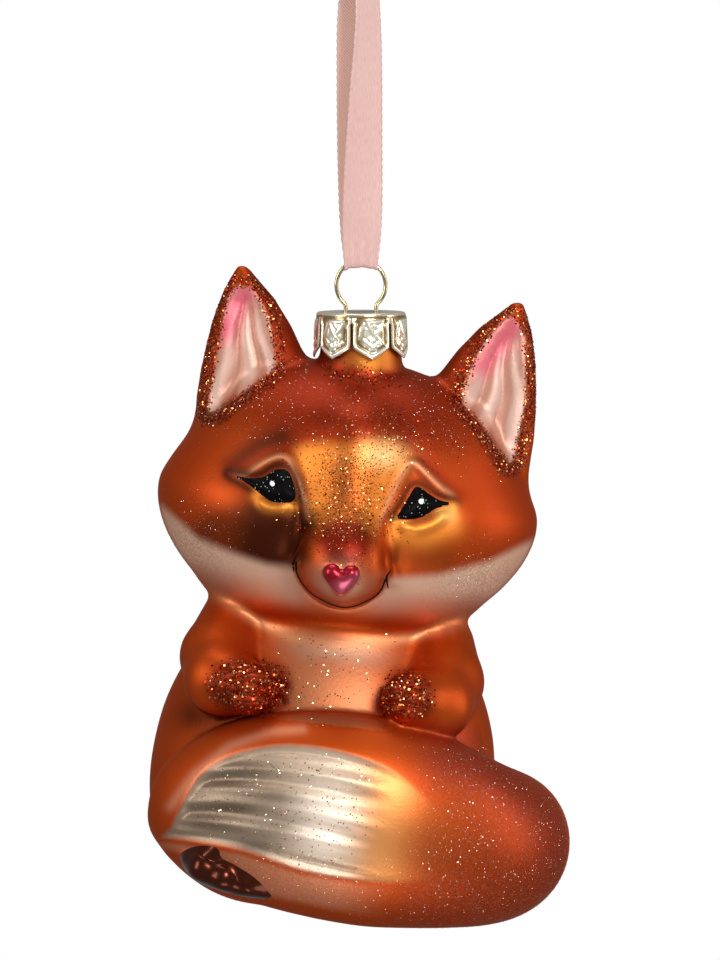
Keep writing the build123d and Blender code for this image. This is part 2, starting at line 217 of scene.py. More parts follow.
class Clay:
    """Signed distances in a block, negative inside the glass."""

    def __init__(self):
        self.axes = [np.arange(low, high, CELL, dtype=np.float32) for low, high in zip(BLOCK_LOW, BLOCK_HIGH)]
        self.field = np.full([len(axis) for axis in self.axes], 8.0, dtype=np.float32)

    def part(self, low, high):
        """The block between two corners, as slices and as places on its three axes."""
        cut = tuple(slice(int(np.searchsorted(axis, a)), int(np.searchsorted(axis, b)))
                    for axis, a, b in zip(self.axes, low, high))
        u, y, w = (axis[piece] for axis, piece in zip(self.axes, cut))
        return cut, u[:, None, None], y[None, :, None], w[None, None, :]

    def add(self, form, reach, low=BLOCK_LOW, high=BLOCK_HIGH):
        """Adds a form, rounded within the reach where it meets the rest."""
        cut, u, y, w = self.part(low, high)
        self.field[cut] = soft_min(self.field[cut], form(u, y, w).astype(np.float32), reach)

    def carve(self, form, reach, low=BLOCK_LOW, high=BLOCK_HIGH):
        """Takes a form away, rounded within the reach."""
        cut, u, y, w = self.part(low, high)
        self.field[cut] = -soft_min(-self.field[cut], form(u, y, w).astype(np.float32), reach)

    def skin(self):
        """Points and four-sided faces of the surface."""
        grid = openvdb.FloatGrid(8.0)
        grid.copyFromArray(self.field)
        points, quads = grid.convertToQuads(isovalue=0.0)
        return np.asarray(points, dtype=np.float64) * CELL + [axis[0] for axis in self.axes], np.asarray(quads)


def as_distance(near):
    """Signed distance from a field that is 1 on the surface, by its slope."""
    steep = np.sqrt(sum(slope * slope for slope in np.gradient(near, CELL)))
    return (near - 1) / np.maximum(steep, 0.02)


def stacked(size, place, levels):
    """A form that rises through ellipses, each a share of the widest one."""
    heights, shares = np.array(levels)[::-1].T
    reach = np.sqrt(1 - shares * shares)

    def form(u, y, w):
        fine = np.arange(heights[0] - 12, heights[-1] + 12, 0.1)
        rise = np.interp(fine, heights, reach)
        rise += np.maximum(fine - heights[-1], 0) / 12 + np.maximum(heights[0] - fine, 0) / 12
        bell = bump(np.arange(-15, 16) * 0.1, 0.8)
        rise = np.convolve(np.pad(rise, 15, mode="edge"), bell / bell.sum(), mode="valid")
        up = np.interp(w.ravel(), fine, rise).reshape(w.shape)
        near = np.sqrt(((u - place[0]) / size[0]) ** 2 + ((y - place[1]) / size[1]) ** 2 + up ** 2)
        return as_distance(near.astype(np.float32))

    return form


def ear_form(side):
    """One pointed ear; each level is an ellipse."""
    heights, *sizes = np.array(EAR_LEVELS).T
    heights = heights - EAR_DROPS[side]

    def form(u, y, w):
        across, wide, thick = (np.interp(w.ravel(), heights, size).reshape(w.shape) for size in sizes)
        near = np.sqrt(((u - side * across - EAR_SHIFTS[side]) / wide) ** 2 + ((y - 0.6) / thick) ** 2)
        return np.maximum(as_distance(near), w - heights[-1])

    return form


def run_along(points):
    """Distance along a line to each of its points."""
    return np.concatenate([[0], np.cumsum(np.linalg.norm(np.diff(points, axis=0), axis=1))])


def unit(rows):
    """Each row as a direction of length one."""
    return rows / np.linalg.norm(rows, axis=1)[:, None]


def grid_faces(rows, columns, start=0):
    """Four-sided faces of a grid of points, row after row."""
    grid = start + np.arange(rows * columns).reshape(rows, columns)
    return np.stack([grid[:-1, :-1], grid[1:, :-1], grid[1:, 1:], grid[:-1, 1:]], axis=-1).reshape(-1, 4)


def curve_through(points, count):
    """A smooth line through the points, evenly stepped."""
    knots = np.array(points, dtype=float)
    padded = np.vstack([2 * knots[0] - knots[1], knots, 2 * knots[-1] - knots[-2]])
    steps = []
    for a, b, c, d in zip(padded[:-3], padded[1:-2], padded[2:-1], padded[3:]):
        for t in np.linspace(0, 1, 24, endpoint=False):
            steps.append(0.5 * (2 * b + (c - a) * t + (2 * a - 5 * b + 4 * c - d) * t * t
                                + (3 * b - a - 3 * c + d) * t ** 3))
    steps = np.array(steps + [knots[-1]])
    run = run_along(steps[:, :3])
    even = np.linspace(0, run[-1], count)
    return np.stack([np.interp(even, run, column) for column in steps.T], axis=1)


def tail_frames(count):
    """Points along the tail with its direction, its level sideways direction and its sizes."""
    line = curve_through(TAIL_LINE, count)
    along = unit(np.gradient(line[:, :3], axis=0))
    side = unit(np.cross(along, [0, 0, 1]))
    return line[:, :3], along, side, np.cross(side, along), line[:, 3], line[:, 4]


def tail_form():
    """The tail as closely spaced ellipsoids along its spine, each with the corners of its own block."""
    for middle, along, side, rise, thick, high in zip(*tail_frames(64)):
        long = min(7.0, thick)

        def form(u, y, w):
            du, dy, dw = u - middle[0], y - middle[1], w - middle[2]
            parts = [(du * axis[0] + dy * axis[1] + dw * axis[2], size)
                     for axis, size in ((along, long), (side, thick), (rise, high))]
            near = np.sqrt(sum((part / size) ** 2 for part, size in parts))
            steep = np.sqrt(sum((part / size ** 2) ** 2 for part, size in parts))
            return near * (near - 1) / np.maximum(steep, 1e-4)

        yield form, middle - high - 2.5, middle + high + 2.5


def row_place(points):
    """Points of the figure's frame, in millimetres, taken to the row in millimetres."""
    return points @ TO_ROW.T + CROWN


def seen_at(points):
    """Where the camera sees points of the figure, in the plane the marks were read in."""
    row = row_place(points) - VIEW_AIM
    ahead = row[:, 1] * cos(VIEW_LIFT) - row[:, 2] * sin(VIEW_LIFT)
    up = row[:, 2] * cos(VIEW_LIFT) + row[:, 1] * sin(VIEW_LIFT)
    scale = VIEW_DISTANCE / (VIEW_DISTANCE + ahead)
    across = row[:, 0] * scale + VIEW_AIM[0] - CROWN[0]
    up = up * scale + VIEW_AIM[2] - CROWN[2]
    return np.stack([across * cos(LEAN) - up * sin(LEAN), across * sin(LEAN) + up * cos(LEAN)], axis=1)


def to_line(spots, line, closed=False):
    """Distance from flat spots to a line of marks, and how far along the line that is, from 0 to 1."""
    marks = np.array(line + line[:1] if closed else line, dtype=float)
    run = run_along(marks)
    nearest = np.full(len(spots), 1e9)
    share = np.zeros(len(spots))
    for index, (a, b) in enumerate(zip(marks[:-1], marks[1:])):
        t = np.clip(((spots - a) @ (b - a)) / ((b - a) @ (b - a)), 0, 1)
        away = np.linalg.norm(spots - a - t[:, None] * (b - a), axis=1)
        closer = away < nearest
        nearest = np.where(closer, away, nearest)
        share = np.where(closer, (run[index] + t * (run[index + 1] - run[index])) / run[-1], share)
    return nearest, share


def in_marks(spots, ring):
    """Signed distance from flat spots to a ring of marks, positive inside."""
    away, _ = to_line(spots, ring, closed=True)
    inside = np.zeros(len(spots), dtype=bool)
    marks = np.array(ring, dtype=float)
    for (x0, y0), (x1, y1) in zip(marks, np.roll(marks, -1, axis=0)):
        crosses = (y0 > spots[:, 1]) != (y1 > spots[:, 1])
        if y0 != y1:
            inside ^= crosses & (spots[:, 0] < (x1 - x0) * (spots[:, 1] - y0) / (y1 - y0) + x0)
    return np.where(inside, away, -away)


def smooth_marks(line, closed=False, count=28):
    """The marks joined by a smooth line."""
    points = list(line[-2:]) + list(line) + list(line[:2]) if closed else list(line)
    knots = np.array(points, dtype=float)
    flat = np.column_stack([knots, np.zeros(len(knots))])
    if not closed:
        return [tuple(p[:2]) for p in curve_through(flat, count)]
    fine = curve_through(flat, count * 2)
    start = np.linalg.norm(fine[:, :2] - line[0], axis=1)[:count].argmin()
    end = count + np.linalg.norm(fine[count:, :2] - line[0], axis=1).argmin()
    return [tuple(p[:2]) for p in fine[start:end]]


def point_normals(points, quads):
    """Area-weighted normals of the points."""
    face = np.cross(points[quads[:, 2]] - points[quads[:, 0]], points[quads[:, 3]] - points[quads[:, 1]])
    normals = np.zeros_like(points)
    for corner in range(4):
        for axis in range(3):
            normals[:, axis] += np.bincount(quads[:, corner], weights=face[:, axis], minlength=len(points))
    return normals / np.maximum(np.linalg.norm(normals, axis=1), 1e-9)[:, None]


def relax(points, quads, rounds, weight=0.5):
    """Evens out the points with their neighbours."""
    count = np.zeros(len(points))
    for corner in range(4):
        count += 2 * np.bincount(quads[:, corner], minlength=len(points))
    for _ in range(rounds):
        total = np.zeros_like(points)
        for corner in range(4):
            for step in (1, 3):
                other = points[quads[:, (corner + step) % 4]]
                for axis in range(3):
                    total[:, axis] += np.bincount(quads[:, corner], weights=other[:, axis], minlength=len(points))
        points = points + weight * (total / np.maximum(count, 1)[:, None] - points)
    return points


def neck_form(radius, low, high):
    """An upright rod of the row's own frame, where the neck stands."""
    def form(u, y, w):
        away = np.sqrt((u * cos(LEAN) + w * sin(LEAN) + CROWN[0]) ** 2 + (y + CROWN[1]) ** 2) - radius
        up = w * cos(LEAN) - u * sin(LEAN)
        return np.maximum(away, np.maximum(up - high, low - up))

    return form


def shape_glass():
    """The whole figure in one block: head, ears, snout, body, arms, tail, foot and neck."""
    clay = Clay()
    clay.add(stacked(HEAD_SIZE, HEAD_PLACE, HEAD_LEVELS), 0.01)
    for side in (-1, 1):
        clay.add(ear_form(side), 1.6, (side * 19 - 12, -6, -26), (side * 19 + 12, 8, 14.5))
    clay.add(lambda u, y, w: capsule(u, y, w, (0.0, -13.3, -11.6), (0.1, -18.4, -24.5), 5.0, 5.5), 4.5)
    clay.add(lambda u, y, w: ellipsoid(u, y, w, (0.2, -20.4, -28.9), (7.3, 7.6, 7.4)), 2.2)
    clay.add(stacked(BODY_SIZE, BODY_PLACE, BODY_LEVELS), 1.5)
    for side, hand in ((-1, (-11.8, -19.6, -49.6)), (1, (12.2, -19.6, -48.4))):
        top = (side * 15.2 + 0.6, -3.5, -42.0)
        elbow = (side * 16.8 + 0.4, -8.5, -46.6)
        wrist = (side * 16.2 + 0.2, -14.6, -49.4)
        for start, end, *sizes, reach in ((top, elbow, 5.8, 6.1, 1.6), (elbow, wrist, 6.1, 5.4, 0.9),
                                          (wrist, hand, 5.4, 4.1, 0.9)):
            clay.add(lambda u, y, w: capsule(u, y, w, start, end, *sizes), reach)
    for form, low, high in tail_form():
        clay.add(form, 0.9, low, high)
    clay.add(lambda u, y, w: ellipsoid(u, y, w, (-12.3, -17.0, -77.9), (7.8, 8.4, 3.1), radians(-19)), 0.8,
             (-24, -30, -86), (0, 0, -70))
    clay.add(neck_form(NECK_RADIUS, -4.0, NECK_HEIGHT), 1.6, (-12, -14, -8), (12, 10, 14.5))
    clay.carve(neck_form(NECK_BORE, -5.0, NECK_HEIGHT + 4), 0.3, (-12, -14, -8), (12, 10, 14.5))
    points, quads = clay.skin()
    return relax(points, quads, 3), quads


def tail_places(points):
    """How far along the tail each point is, from 0 to 1, and its turn round the spine."""
    middles, _, sides, rises, thicks, highs = tail_frames(120)
    best = np.full(len(points), 1e9)
    along = np.zeros(len(points))
    turn = np.zeros(len(points))
    for index, (middle, side, rise, thick, high) in enumerate(zip(middles, sides, rises, thicks, highs)):
        apart = points - middle
        away = np.linalg.norm(apart, axis=1)
        closer = away < best
        best = np.where(closer, away, best)
        along = np.where(closer, index / (len(middles) - 1), along)
        turn = np.where(closer, np.arctan2(apart @ rise / high, apart @ side / thick), turn)
    return along, turn


def face_relief(seen):
    """How far the face stands out beyond its plain form, in millimetres."""
    u, w = seen.T
    lift = np.zeros(len(seen))
    for eye, lid, bag, middle, valley in (
            (EYE_L, LID_L, BAG_L, (-12.6, -20.2), ((-8.2, -23.6), (-7.6, -26.0), (-7.6, -29.0), (-7.9, -31.0))),
            (EYE_R, LID_R, BAG_R, (11.4, -20.6), ((7.4, -24.0), (7.4, -27.0), (7.8, -30.0)))):
        lift -= 1.1 * np.exp(-((u - middle[0]) / 7.0) ** 2 - ((w - middle[1]) / 4.6) ** 2)
        lift += 0.8 * smooth_step(-0.2, 1.8, in_marks(seen, smooth_marks(eye, True)))
        away, share = to_line(seen, smooth_marks(lid))
        lift += 0.36 * bump(away, 0.7) * smooth_step(0, 0.15, share) * (1 - 0.6 * smooth_step(0.65, 1, share))
        away, share = to_line(seen, smooth_marks(bag))
        lift += 0.4 * bump(away, 0.7) * smooth_step(0, 0.2, share) * smooth_step(0, 0.2, 1 - share)
        away, share = to_line(seen, smooth_marks(valley))
        lift -= 0.9 * bump(away, 1.4)
    away, share = to_line(seen, smooth_marks(MOUTH))
    lift -= (0.25 + 0.45 * bump(share, 0.08) + 0.3 * bump(1 - share, 0.08)) * bump(away, 0.5)
    lift += 0.6 * bump(np.hypot(u + 8.3, w + 31.8), 1.1) + 0.4 * bump(np.hypot(u - 8.3, w + 32.6), 1.1)
    lift += 0.9 * smooth_step(-0.1, 1.0, in_marks(seen, smooth_marks(NOSE, True)))
    return lift


def relief(points, normals, seen):
    """How far every carved detail stands out: face, inner ears, paws and tail strands."""
    u, w = seen.T
    front = smooth_step(0.12, 0.4, -normals[:, 1])
    lift = face_relief(seen) * front * (points[:, 1] < -8) * (w > -41)
    for ear, tip in ((EAR_L, (-19.4, 11.5)), (EAR_R, (21.4, 11.0))):
        inside = in_marks(seen, smooth_marks(ear, True))
        on_ear = front * (points[:, 1] > -8) * (w < 10.5)
        lift -= 1.3 * smooth_step(-0.2, 2.6, inside) * on_ear
        across = (u - tip[0]) / np.maximum(tip[1] - w, 2.0)
        strand = np.abs(np.sin(across * 13.0 + 0.35 * np.sin(w * 0.6)))
        lift += 0.36 * (strand - 0.6) * smooth_step(0.2, 1.4, inside) * on_ear
    for depth, marks in PAW_GROOVES:
        lift -= depth * bump(to_line(seen, marks)[0], 0.55) * front * (points[:, 1] < -12)
    along, turn = tail_places(points)
    white = np.minimum(in_tail_white(seen), 3.0)
    on_tail = (points[:, 1] < -8) * smooth_step(-54.0, -57.0, w) * front
    recess = smooth_step(-0.3, 0.9, white) * on_tail * (1 - smooth_step(4, 18, u))
    lift -= 0.55 * recess
    strands = np.sin(turn * 17 + 2.2 * np.sin(along * 9)) + 0.6 * np.sin(turn * 31 + along * 17)
    fade = smooth_step(0.0, 1.2, white) * on_tail * (1 - smooth_step(3, 13, u))
    lift += 0.3 * strands * fade
    return lift


def in_tail_white(seen):
    """Signed distance inside the pale field on the tail."""
    ring = smooth_marks(WHITE_TOP) + smooth_marks(WHITE_LOW)[::-1]
    return in_marks(seen, ring)


def row_from_mark(spot):
    """The camera's place and its direction towards a mark, in the row's millimetres."""
    flat = np.array([spot[0] * cos(LEAN) + spot[1] * sin(LEAN), spot[1] * cos(LEAN) - spot[0] * sin(LEAN)])
    flat += [CROWN[0], CROWN[2]]
    up = flat[1] - VIEW_AIM[2]
    aim = Vector((flat[0], VIEW_AIM[1] + up * sin(VIEW_LIFT), VIEW_AIM[2] + up * cos(VIEW_LIFT)))
    eye = Vector(VIEW_AIM) + Vector((0, -cos(VIEW_LIFT), sin(VIEW_LIFT))) * VIEW_DISTANCE
    return eye, (aim - eye).normalized()


def on_skin(skin, spot):
    """The point of the glass that the camera sees at a mark, or the nearest one, and its normal."""
    eye, toward = row_from_mark(spot)
    place, normal, *_ = skin.ray_cast(eye, toward)
    if place is None:
        place, normal, *_ = skin.find_nearest(eye + toward * (VIEW_DISTANCE - 15))
    return place, normal


def enamel(name, ring, skin, lift, dome, material, spacing=0.4, edge=0.0, toes=0.0):
    """A coat of thick paint on the glass, inside a ring of marks, domed towards its middle."""
    outline = np.array(smooth_marks(ring, True))
    low, high = outline.min(axis=0), outline.max(axis=0)
    grid = np.array([(a, b) for a in np.arange(low[0], high[0], spacing)
                     for b in np.arange(low[1], high[1], spacing)])
    grid = grid[in_marks(grid, [tuple(p) for p in outline]) > spacing * 0.55]
    spots = np.vstack([outline, grid])
    loop = [[i, (i + 1) % len(outline)] for i in range(len(outline))]
    flat, _, faces, *_ = delaunay_2d_cdt([Vector(p) for p in spots], loop, [list(range(len(outline)))], 1, 1e-5)
    spots = np.array([tuple(p) for p in flat])
    inside = np.maximum(in_marks(spots, [tuple(p) for p in outline]), 0)
    rise = lift * smooth_step(0, 0.25, inside) + dome * np.sqrt(np.clip(inside / max(inside.max(), 0.1), 0, 1)) + edge
    run = (spots - low) @ (np.array([1.0, -0.35]) / (high - low)[0])
    rise += toes * np.abs(np.sin(run * 3.6 * pi)) * smooth_step(0.2, 1.2, inside)
    points = []
    for spot, high in zip(spots, rise):
        place, normal = on_skin(skin, spot)
        points.append((place + normal * (high - 0.03)) * MM)
    mesh = bpy.data.meshes.new(name)
    mesh.from_pydata(points, [], faces)
    mesh.shade_smooth()
    thing = placed(name, mesh, material)
    group = thing.vertex_groups.new(name="Middle")
    group.add([index for index, depth in enumerate(inside) if depth > 0.15], 1.0, "REPLACE")
    return thing


def enamel_line(name, marks, skin, widths, material, raised=0.12):
    """A painted stroke along marks, its half width given from start to end."""
    line = np.array(smooth_marks(marks, count=48))
    along = unit(np.gradient(line, axis=0))
    across = np.column_stack([-along[:, 1], along[:, 0]])
    half = np.interp(np.linspace(0, 1, len(line)), np.linspace(0, 1, len(widths)), widths)
    points = []
    for spot, side, wide in zip(line, across, half):
        for step in (-1, -0.5, 0, 0.5, 1):
            place, normal = on_skin(skin, spot + side * wide * step)
            points.append((place + normal * (raised * (1 - step * step) - 0.02)) * MM)
    faces = [(first + i, first + i + 1, first + i + 6, first + i + 5)
             for first in range(0, 5 * (len(line) - 1), 5) for i in range(4)]
    mesh = bpy.data.meshes.new(name)
    mesh.from_pydata(points, [], faces)
    mesh.shade_smooth()
    return placed(name, mesh, material)


def join(tree, made, inputs):
    """Sets a node's inputs to values, or links them to the outputs of other nodes."""
    for socket, value in inputs.items():
        if isinstance(value, bpy.types.NodeSocket):
            tree.links.new(value, made.inputs[socket])
        else:
            made.inputs[socket].default_value = value


def node(tree, kind, inputs=None, **settings):
    """A new node with its settings and inputs."""
    made = tree.nodes.new(kind)
    for name, value in settings.items():
        setattr(made, name, value)
    join(tree, made, inputs or {})
    return made


def ramp(tree, share, low, high, full=1.0):
    """A ramp between two colours that reaches the second where the share is full."""
    made = node(tree, "ShaderNodeValToRGB", {"Fac": share})
    for stop, place, tint in zip(made.color_ramp.elements, (0.0, full), (low, high)):
        stop.position = place
        stop.color = (*tint, 1)
    return made.outputs["Color"]


def eye_enamel():
    """Black enamel with a little clear glitter in it."""
    material, tree, shader = new_material("Black Eye Enamel")
    place = node(tree, "ShaderNodeTexCoord")
    cells = node(tree, "ShaderNodeTexVoronoi", {"Scale": 3300, "Vector": place.outputs["Object"]})
    chosen = node(tree, "ShaderNodeSeparateColor", {"Color": cells.outputs["Color"]})
    small = node(tree, "ShaderNodeMath", {0: cells.outputs["Distance"], 1: 0.3}, operation="LESS_THAN")
    few = node(tree, "ShaderNodeMath", {0: chosen.outputs["Red"], 1: 0.88}, operation="GREATER_THAN")
    both = node(tree, "ShaderNodeMath", {0: small.outputs[0], 1: few.outputs[0]}, operation="MULTIPLY")
    tint = ramp(tree, both.outputs[0], colour(5, 3, 3), colour(150, 168, 158))
    join(tree, shader, {"Base Color": tint, "Roughness": 0.5, "Specular IOR Level": 0.06})
    return material


def gloss_enamel(name, tint, rough=0.08, metal=0.0, coat=0.6):
    """Glossy enamel of one colour."""
    material, tree, shader = new_material(name)
    join(tree, shader, {"Base Color": (*tint, 1), "Roughness": rough, "Metallic": metal, "Specular IOR Level": 0.3,
                        "Coat Weight": coat, "Coat Roughness": 0.05})
    return material


def nose_enamel():
    """Metallic pink enamel, darker red towards its top left."""
    material, tree, shader = new_material("Pink Nose Enamel")
    place = node(tree, "ShaderNodeTexCoord")
    split = node(tree, "ShaderNodeSeparateXYZ", {"Vector": place.outputs["Object"]})
    level = row_place(np.array([[0.2, -28.0, -31.2]]))[0, 2] * MM
    lower = node(tree, "ShaderNodeMath", {0: split.outputs["Z"], 1: -1.0}, operation="MULTIPLY")
    slope = node(tree, "ShaderNodeMath", {0: split.outputs["X"], 1: 0.35, 2: lower.outputs[0]},
                 operation="MULTIPLY_ADD")
    share = node(tree, "ShaderNodeMapRange", {"From Min": -level - 1.9 * MM, "From Max": -level + 1.4 * MM,
                                              "Value": slope.outputs[0]})
    tint = ramp(tree, share.outputs["Result"], colour(168, 22, 40), colour(224, 120, 150))
    join(tree, shader, {"Base Color": tint, "Metallic": 0.8, "Roughness": 0.3, "Coat Weight": 0.15,
                        "Coat Roughness": 0.1})
    return material


def make_enamel():
    """Eyes, nose, mouth and foot in enamel that stands on the glass."""
    glass = glass_surface()
    skin = BVHTree.FromPolygons([Vector(p) for p in glass["row"] / MM], glass["quads"].tolist())
    black = eye_enamel()
    white = gloss_enamel("White Eye Enamel", colour(245, 245, 248), 0.3)
    brown = gloss_enamel("Brown Foot Enamel", colour(78, 30, 12), 0.26, 0.85, coat=0.2)
    pieces = [enamel("Eye_Left", EYE_L, skin, 0.1, 0.3, black, 0.35),
              enamel("Eye_Right", EYE_R, skin, 0.1, 0.3, black, 0.35),
              enamel("Nose_Heart", NOSE, skin, 0.12, 0.35, nose_enamel(), 0.35)]
    foot = enamel("Foot_Enamel", FOOT, skin, 0.2, 0.5, brown, 0.4, toes=0.9)
    even = foot.modifiers.new("Brushed Out", "SMOOTH")
    even.factor = 0.5
    even.iterations = 8
    even.vertex_group = "Middle"
    pieces.append(foot)
    for name, across, up in (("Pupil_Dot_Left", -11.5, -20.4), ("Pupil_Dot_Right", 10.8, -20.5)):
        dot = tuple((across + DOT_SIZE * cos(turn), up + DOT_SIZE * sin(turn)) for turn in np.arange(8) * pi / 4)
        pieces.append(enamel(name, dot, skin, 0.1, 0.1, white, 0.2, 0.62))
    for name, marks, widths in (
            ("Mouth_Line", MOUTH, (0.16, 0.09, 0.05, 0.045, 0.045, 0.045, 0.05, 0.09, 0.16)),
            ("Mouth_Corner_Left", ((-6.9, -30.6), (-7.2, -31.9), (-7.0, -33.0)), (0.05, 0.22, 0.05)),
            ("Mouth_Corner_Right", ((7.6, -31.2), (7.1, -32.4), (7.5, -33.9)), (0.05, 0.22, 0.08))):
        pieces.append(enamel_line(name, marks, skin, widths, black))
    for piece in pieces:
        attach(piece, "fox")


def scatter_group():
    """Flakes scattered over a surface, thicker where its points say so."""
    tree, given, out = node_group("Glitter Flakes", "GeometryNodeTree", (
        ("Surface", "NodeSocketGeometry", None), ("Density", "NodeSocketFloat", 1e6),
        ("Size", "NodeSocketFloat", 0.0002), ("Tilt", "NodeSocketFloat", 0.6), ("Seed", "NodeSocketInt", 1),
        ("Material", "NodeSocketMaterial", None)), (("Flakes", "NodeSocketGeometry"),))
    seed, tilt = given.outputs["Seed"], given.outputs["Tilt"]
    cover = node(tree, "GeometryNodeInputNamedAttribute", {"Name": "glitter"}, data_type="FLOAT")
    thicker = node(tree, "ShaderNodeMath", {0: given.outputs["Density"], 1: cover.outputs["Attribute"]},
                   operation="MULTIPLY")
    spread = node(tree, "GeometryNodeDistributePointsOnFaces",
                  {"Mesh": given.outputs["Surface"], "Density": thicker.outputs[0], "Seed": seed},
                  distribute_method="RANDOM")
    flake = node(tree, "GeometryNodeMeshCircle", {"Vertices": 6, "Radius": given.outputs["Size"]}, fill_type="NGON")
    least = node(tree, "ShaderNodeVectorMath", {0: (-1, -1, -6), "Scale": tilt}, operation="SCALE")
    most = node(tree, "ShaderNodeVectorMath", {0: (1, 1, 6), "Scale": tilt}, operation="SCALE")
    lean = node(tree, "FunctionNodeRandomValue",
                {0: least.outputs["Vector"], 1: most.outputs["Vector"], "Seed": seed}, data_type="FLOAT_VECTOR")
    as_turn = node(tree, "FunctionNodeEulerToRotation", {0: lean.outputs[0]})
    turned = node(tree, "FunctionNodeRotateRotation", {0: spread.outputs["Rotation"], 1: as_turn.outputs[0]},
                  rotation_space="LOCAL")
    sizes = node(tree, "FunctionNodeRandomValue", {2: 0.55, 3: 1.15, "Seed": seed}, data_type="FLOAT")
    copies = node(tree, "GeometryNodeInstanceOnPoints",
                  {"Points": spread.outputs["Points"], "Instance": flake.outputs["Mesh"],
                   "Rotation": turned.outputs[0], "Scale": sizes.outputs[1]})
    shade = node(tree, "FunctionNodeRandomValue", {"Seed": 7}, data_type="FLOAT")
    store = node(tree, "GeometryNodeStoreNamedAttribute",
                 {"Name": "flake", "Geometry": copies.outputs["Instances"], "Value": shade.outputs[1]},
                 data_type="FLOAT", domain="INSTANCE")
    real = node(tree, "GeometryNodeRealizeInstances", {"Geometry": store.outputs["Geometry"]})
    coat = node(tree, "GeometryNodeSetMaterial",
                {"Geometry": real.outputs["Geometry"], "Material": given.outputs["Material"]})
    join(tree, out, {"Flakes": coat.outputs["Geometry"]})
    return tree


def dab(seen, across, up, wide, high):
    """An oval spot, as the camera sees it, that fades towards its edge."""
    return bump(np.hypot((seen[:, 0] - across) / wide, (seen[:, 1] - up) / high), 1.0)


def glitter_cover(seen, points, normals):
    """Where each kind of glitter lies on the glass, from 0 to 1."""
    u, w = seen.T
    deep = points[:, 1]
    front = smooth_step(0.0, 0.3, -normals[:, 1])

    ear_rims = np.zeros(len(u))
    ears = np.full(len(u), -9.0)
    for ear in (EAR_L, EAR_R):
        inside = in_marks(seen, smooth_marks(ear, True))
        rim = smooth_step(-2.4, -1.2, inside) * (inside < 0.25)
        ears = np.maximum(ears, inside)
        ear_rims = np.maximum(ear_rims, rim * (deep > -9) * (w > -15) * (w < 11.2) * (front > 0.2))
    neck_foot = bump(np.hypot(u - 0.2, deep + 9.5) / 4.0, 1.0) * bump(w + 2.5, 1.2)
    copper = np.maximum(ear_rims, 0.7 * neck_foot * (points[:, 2] > -5))
    bridge = bump(u / 5.6, 1.0) * smooth_step(-29.0, -25.5, w) * smooth_step(-11.5, -16.0, w) * (deep < -9)
    brow = 0.5 * dab(seen, 5, -11.5, 7.5, 3.4) * (deep < -9)
    muzzle = 0.3 * dab(seen, 1, -29.5, 4, 3.2) * (deep < -20)
    paws = np.maximum(*(smooth_step(-0.8, 1.2, in_marks(seen, smooth_marks(paw, True))) for paw in (PAW_L, PAW_R)))
    chest = dab(seen, 1, -48.5, 8.5, 5.2) * front * (deep < -9)
    white = smooth_step(0, 3, in_tail_white(seen)) * (1 - smooth_step(0, 14, u)) * front * (deep < -9)
    cheeks = np.maximum(dab(seen, -22.5, -31, 5.5, 5), dab(seen, 22.0, -31.5, 6.5, 4))
    crown = smooth_step(-18, -8, w) * (w < 0) * (deep < 2) * 0.3 * (ears < -0.5)
    tail = smooth_step(10, 24, u) * (w < -56) * 0.6 + 0.4 * bump(w + 79.5, 4.0) * (u > -14)
    frost = np.maximum(np.maximum(cheeks, crown), tail) * smooth_step(-0.25, 0.2, -normals[:, 1])
    return {"Copper_Glitter": copper, "Bridge_Glitter": np.maximum(np.maximum(bridge, brow), muzzle) * front,
            "Paw_Glitter": paws * ((deep < -10) * front), "Chest_Glitter": np.maximum(chest, 0.8 * white),
            "Frost_Glitter": frost}


def node_group(name, kind, inputs, outputs):
    """A new node group with its named sockets, and its input and output nodes."""
    tree = bpy.data.node_groups.new(name, kind)
    for label, socket_type, value in inputs:
        socket = tree.interface.new_socket(label, in_out="INPUT", socket_type=socket_type)
        if value is not None:
            socket.default_value = value
    for label, socket_type in outputs:
        tree.interface.new_socket(label, in_out="OUTPUT", socket_type=socket_type)
    return tree, tree.nodes.new("NodeGroupInput"), tree.nodes.new("NodeGroupOutput")


@cache
def flake_tint():
    """Shader group: most flakes dark, a few bright, by the number that each one carries."""
    tree, given, out = node_group("Flake Tint", "ShaderNodeTree", (
        ("Dark", "NodeSocketColor", (0.2, 0.05, 0.01, 1)), ("Bright", "NodeSocketColor", (1, 0.6, 0.4, 1))),
        (("Colour", "NodeSocketColor"),))
    shade = node(tree, "ShaderNodeAttribute", attribute_name="flake")
    share = node(tree, "ShaderNodeMapRange", {"From Min": 0.35, "Value": shade.outputs["Fac"]})
    mix = node(tree, "ShaderNodeMix", {"Factor": share.outputs["Result"], "A": given.outputs["Dark"],
                                       "B": given.outputs["Bright"]}, data_type="RGBA")
    join(tree, out, {"Colour": mix.outputs["Result"]})
    return tree


def flake_material(name, dark, bright):
    """Foil glitter whose flakes differ a little in colour."""
    material, tree, shader = new_material(name)
    tinted = node(tree, "ShaderNodeGroup", {"Dark": (*dark, 1), "Bright": (*bright, 1)}, node_tree=flake_tint())
    join(tree, shader, {"Base Color": tinted.outputs["Colour"], "Metallic": 1.0, "Roughness": 0.2})
    return material


GLITTER = {
    # flakes to a square millimetre, share of the flake radius, tilt in radians, dark and bright colour
    "Copper_Glitter": (9.0, 1.0, 0.5, (140, 30, 6), (255, 176, 110)),
    "Bridge_Glitter": (10.0, 0.7, 0.45, (112, 26, 4), (255, 190, 120)),
    "Paw_Glitter": (7.0, 1.13, 0.5, (150, 30, 6), (255, 176, 112)),
    "Chest_Glitter": (1.3, 0.8, 0.4, (206, 160, 120), (214, 244, 196)),
    "Frost_Glitter": (8.0, 0.33, 0.5, (226, 190, 170), (255, 246, 236)),
}


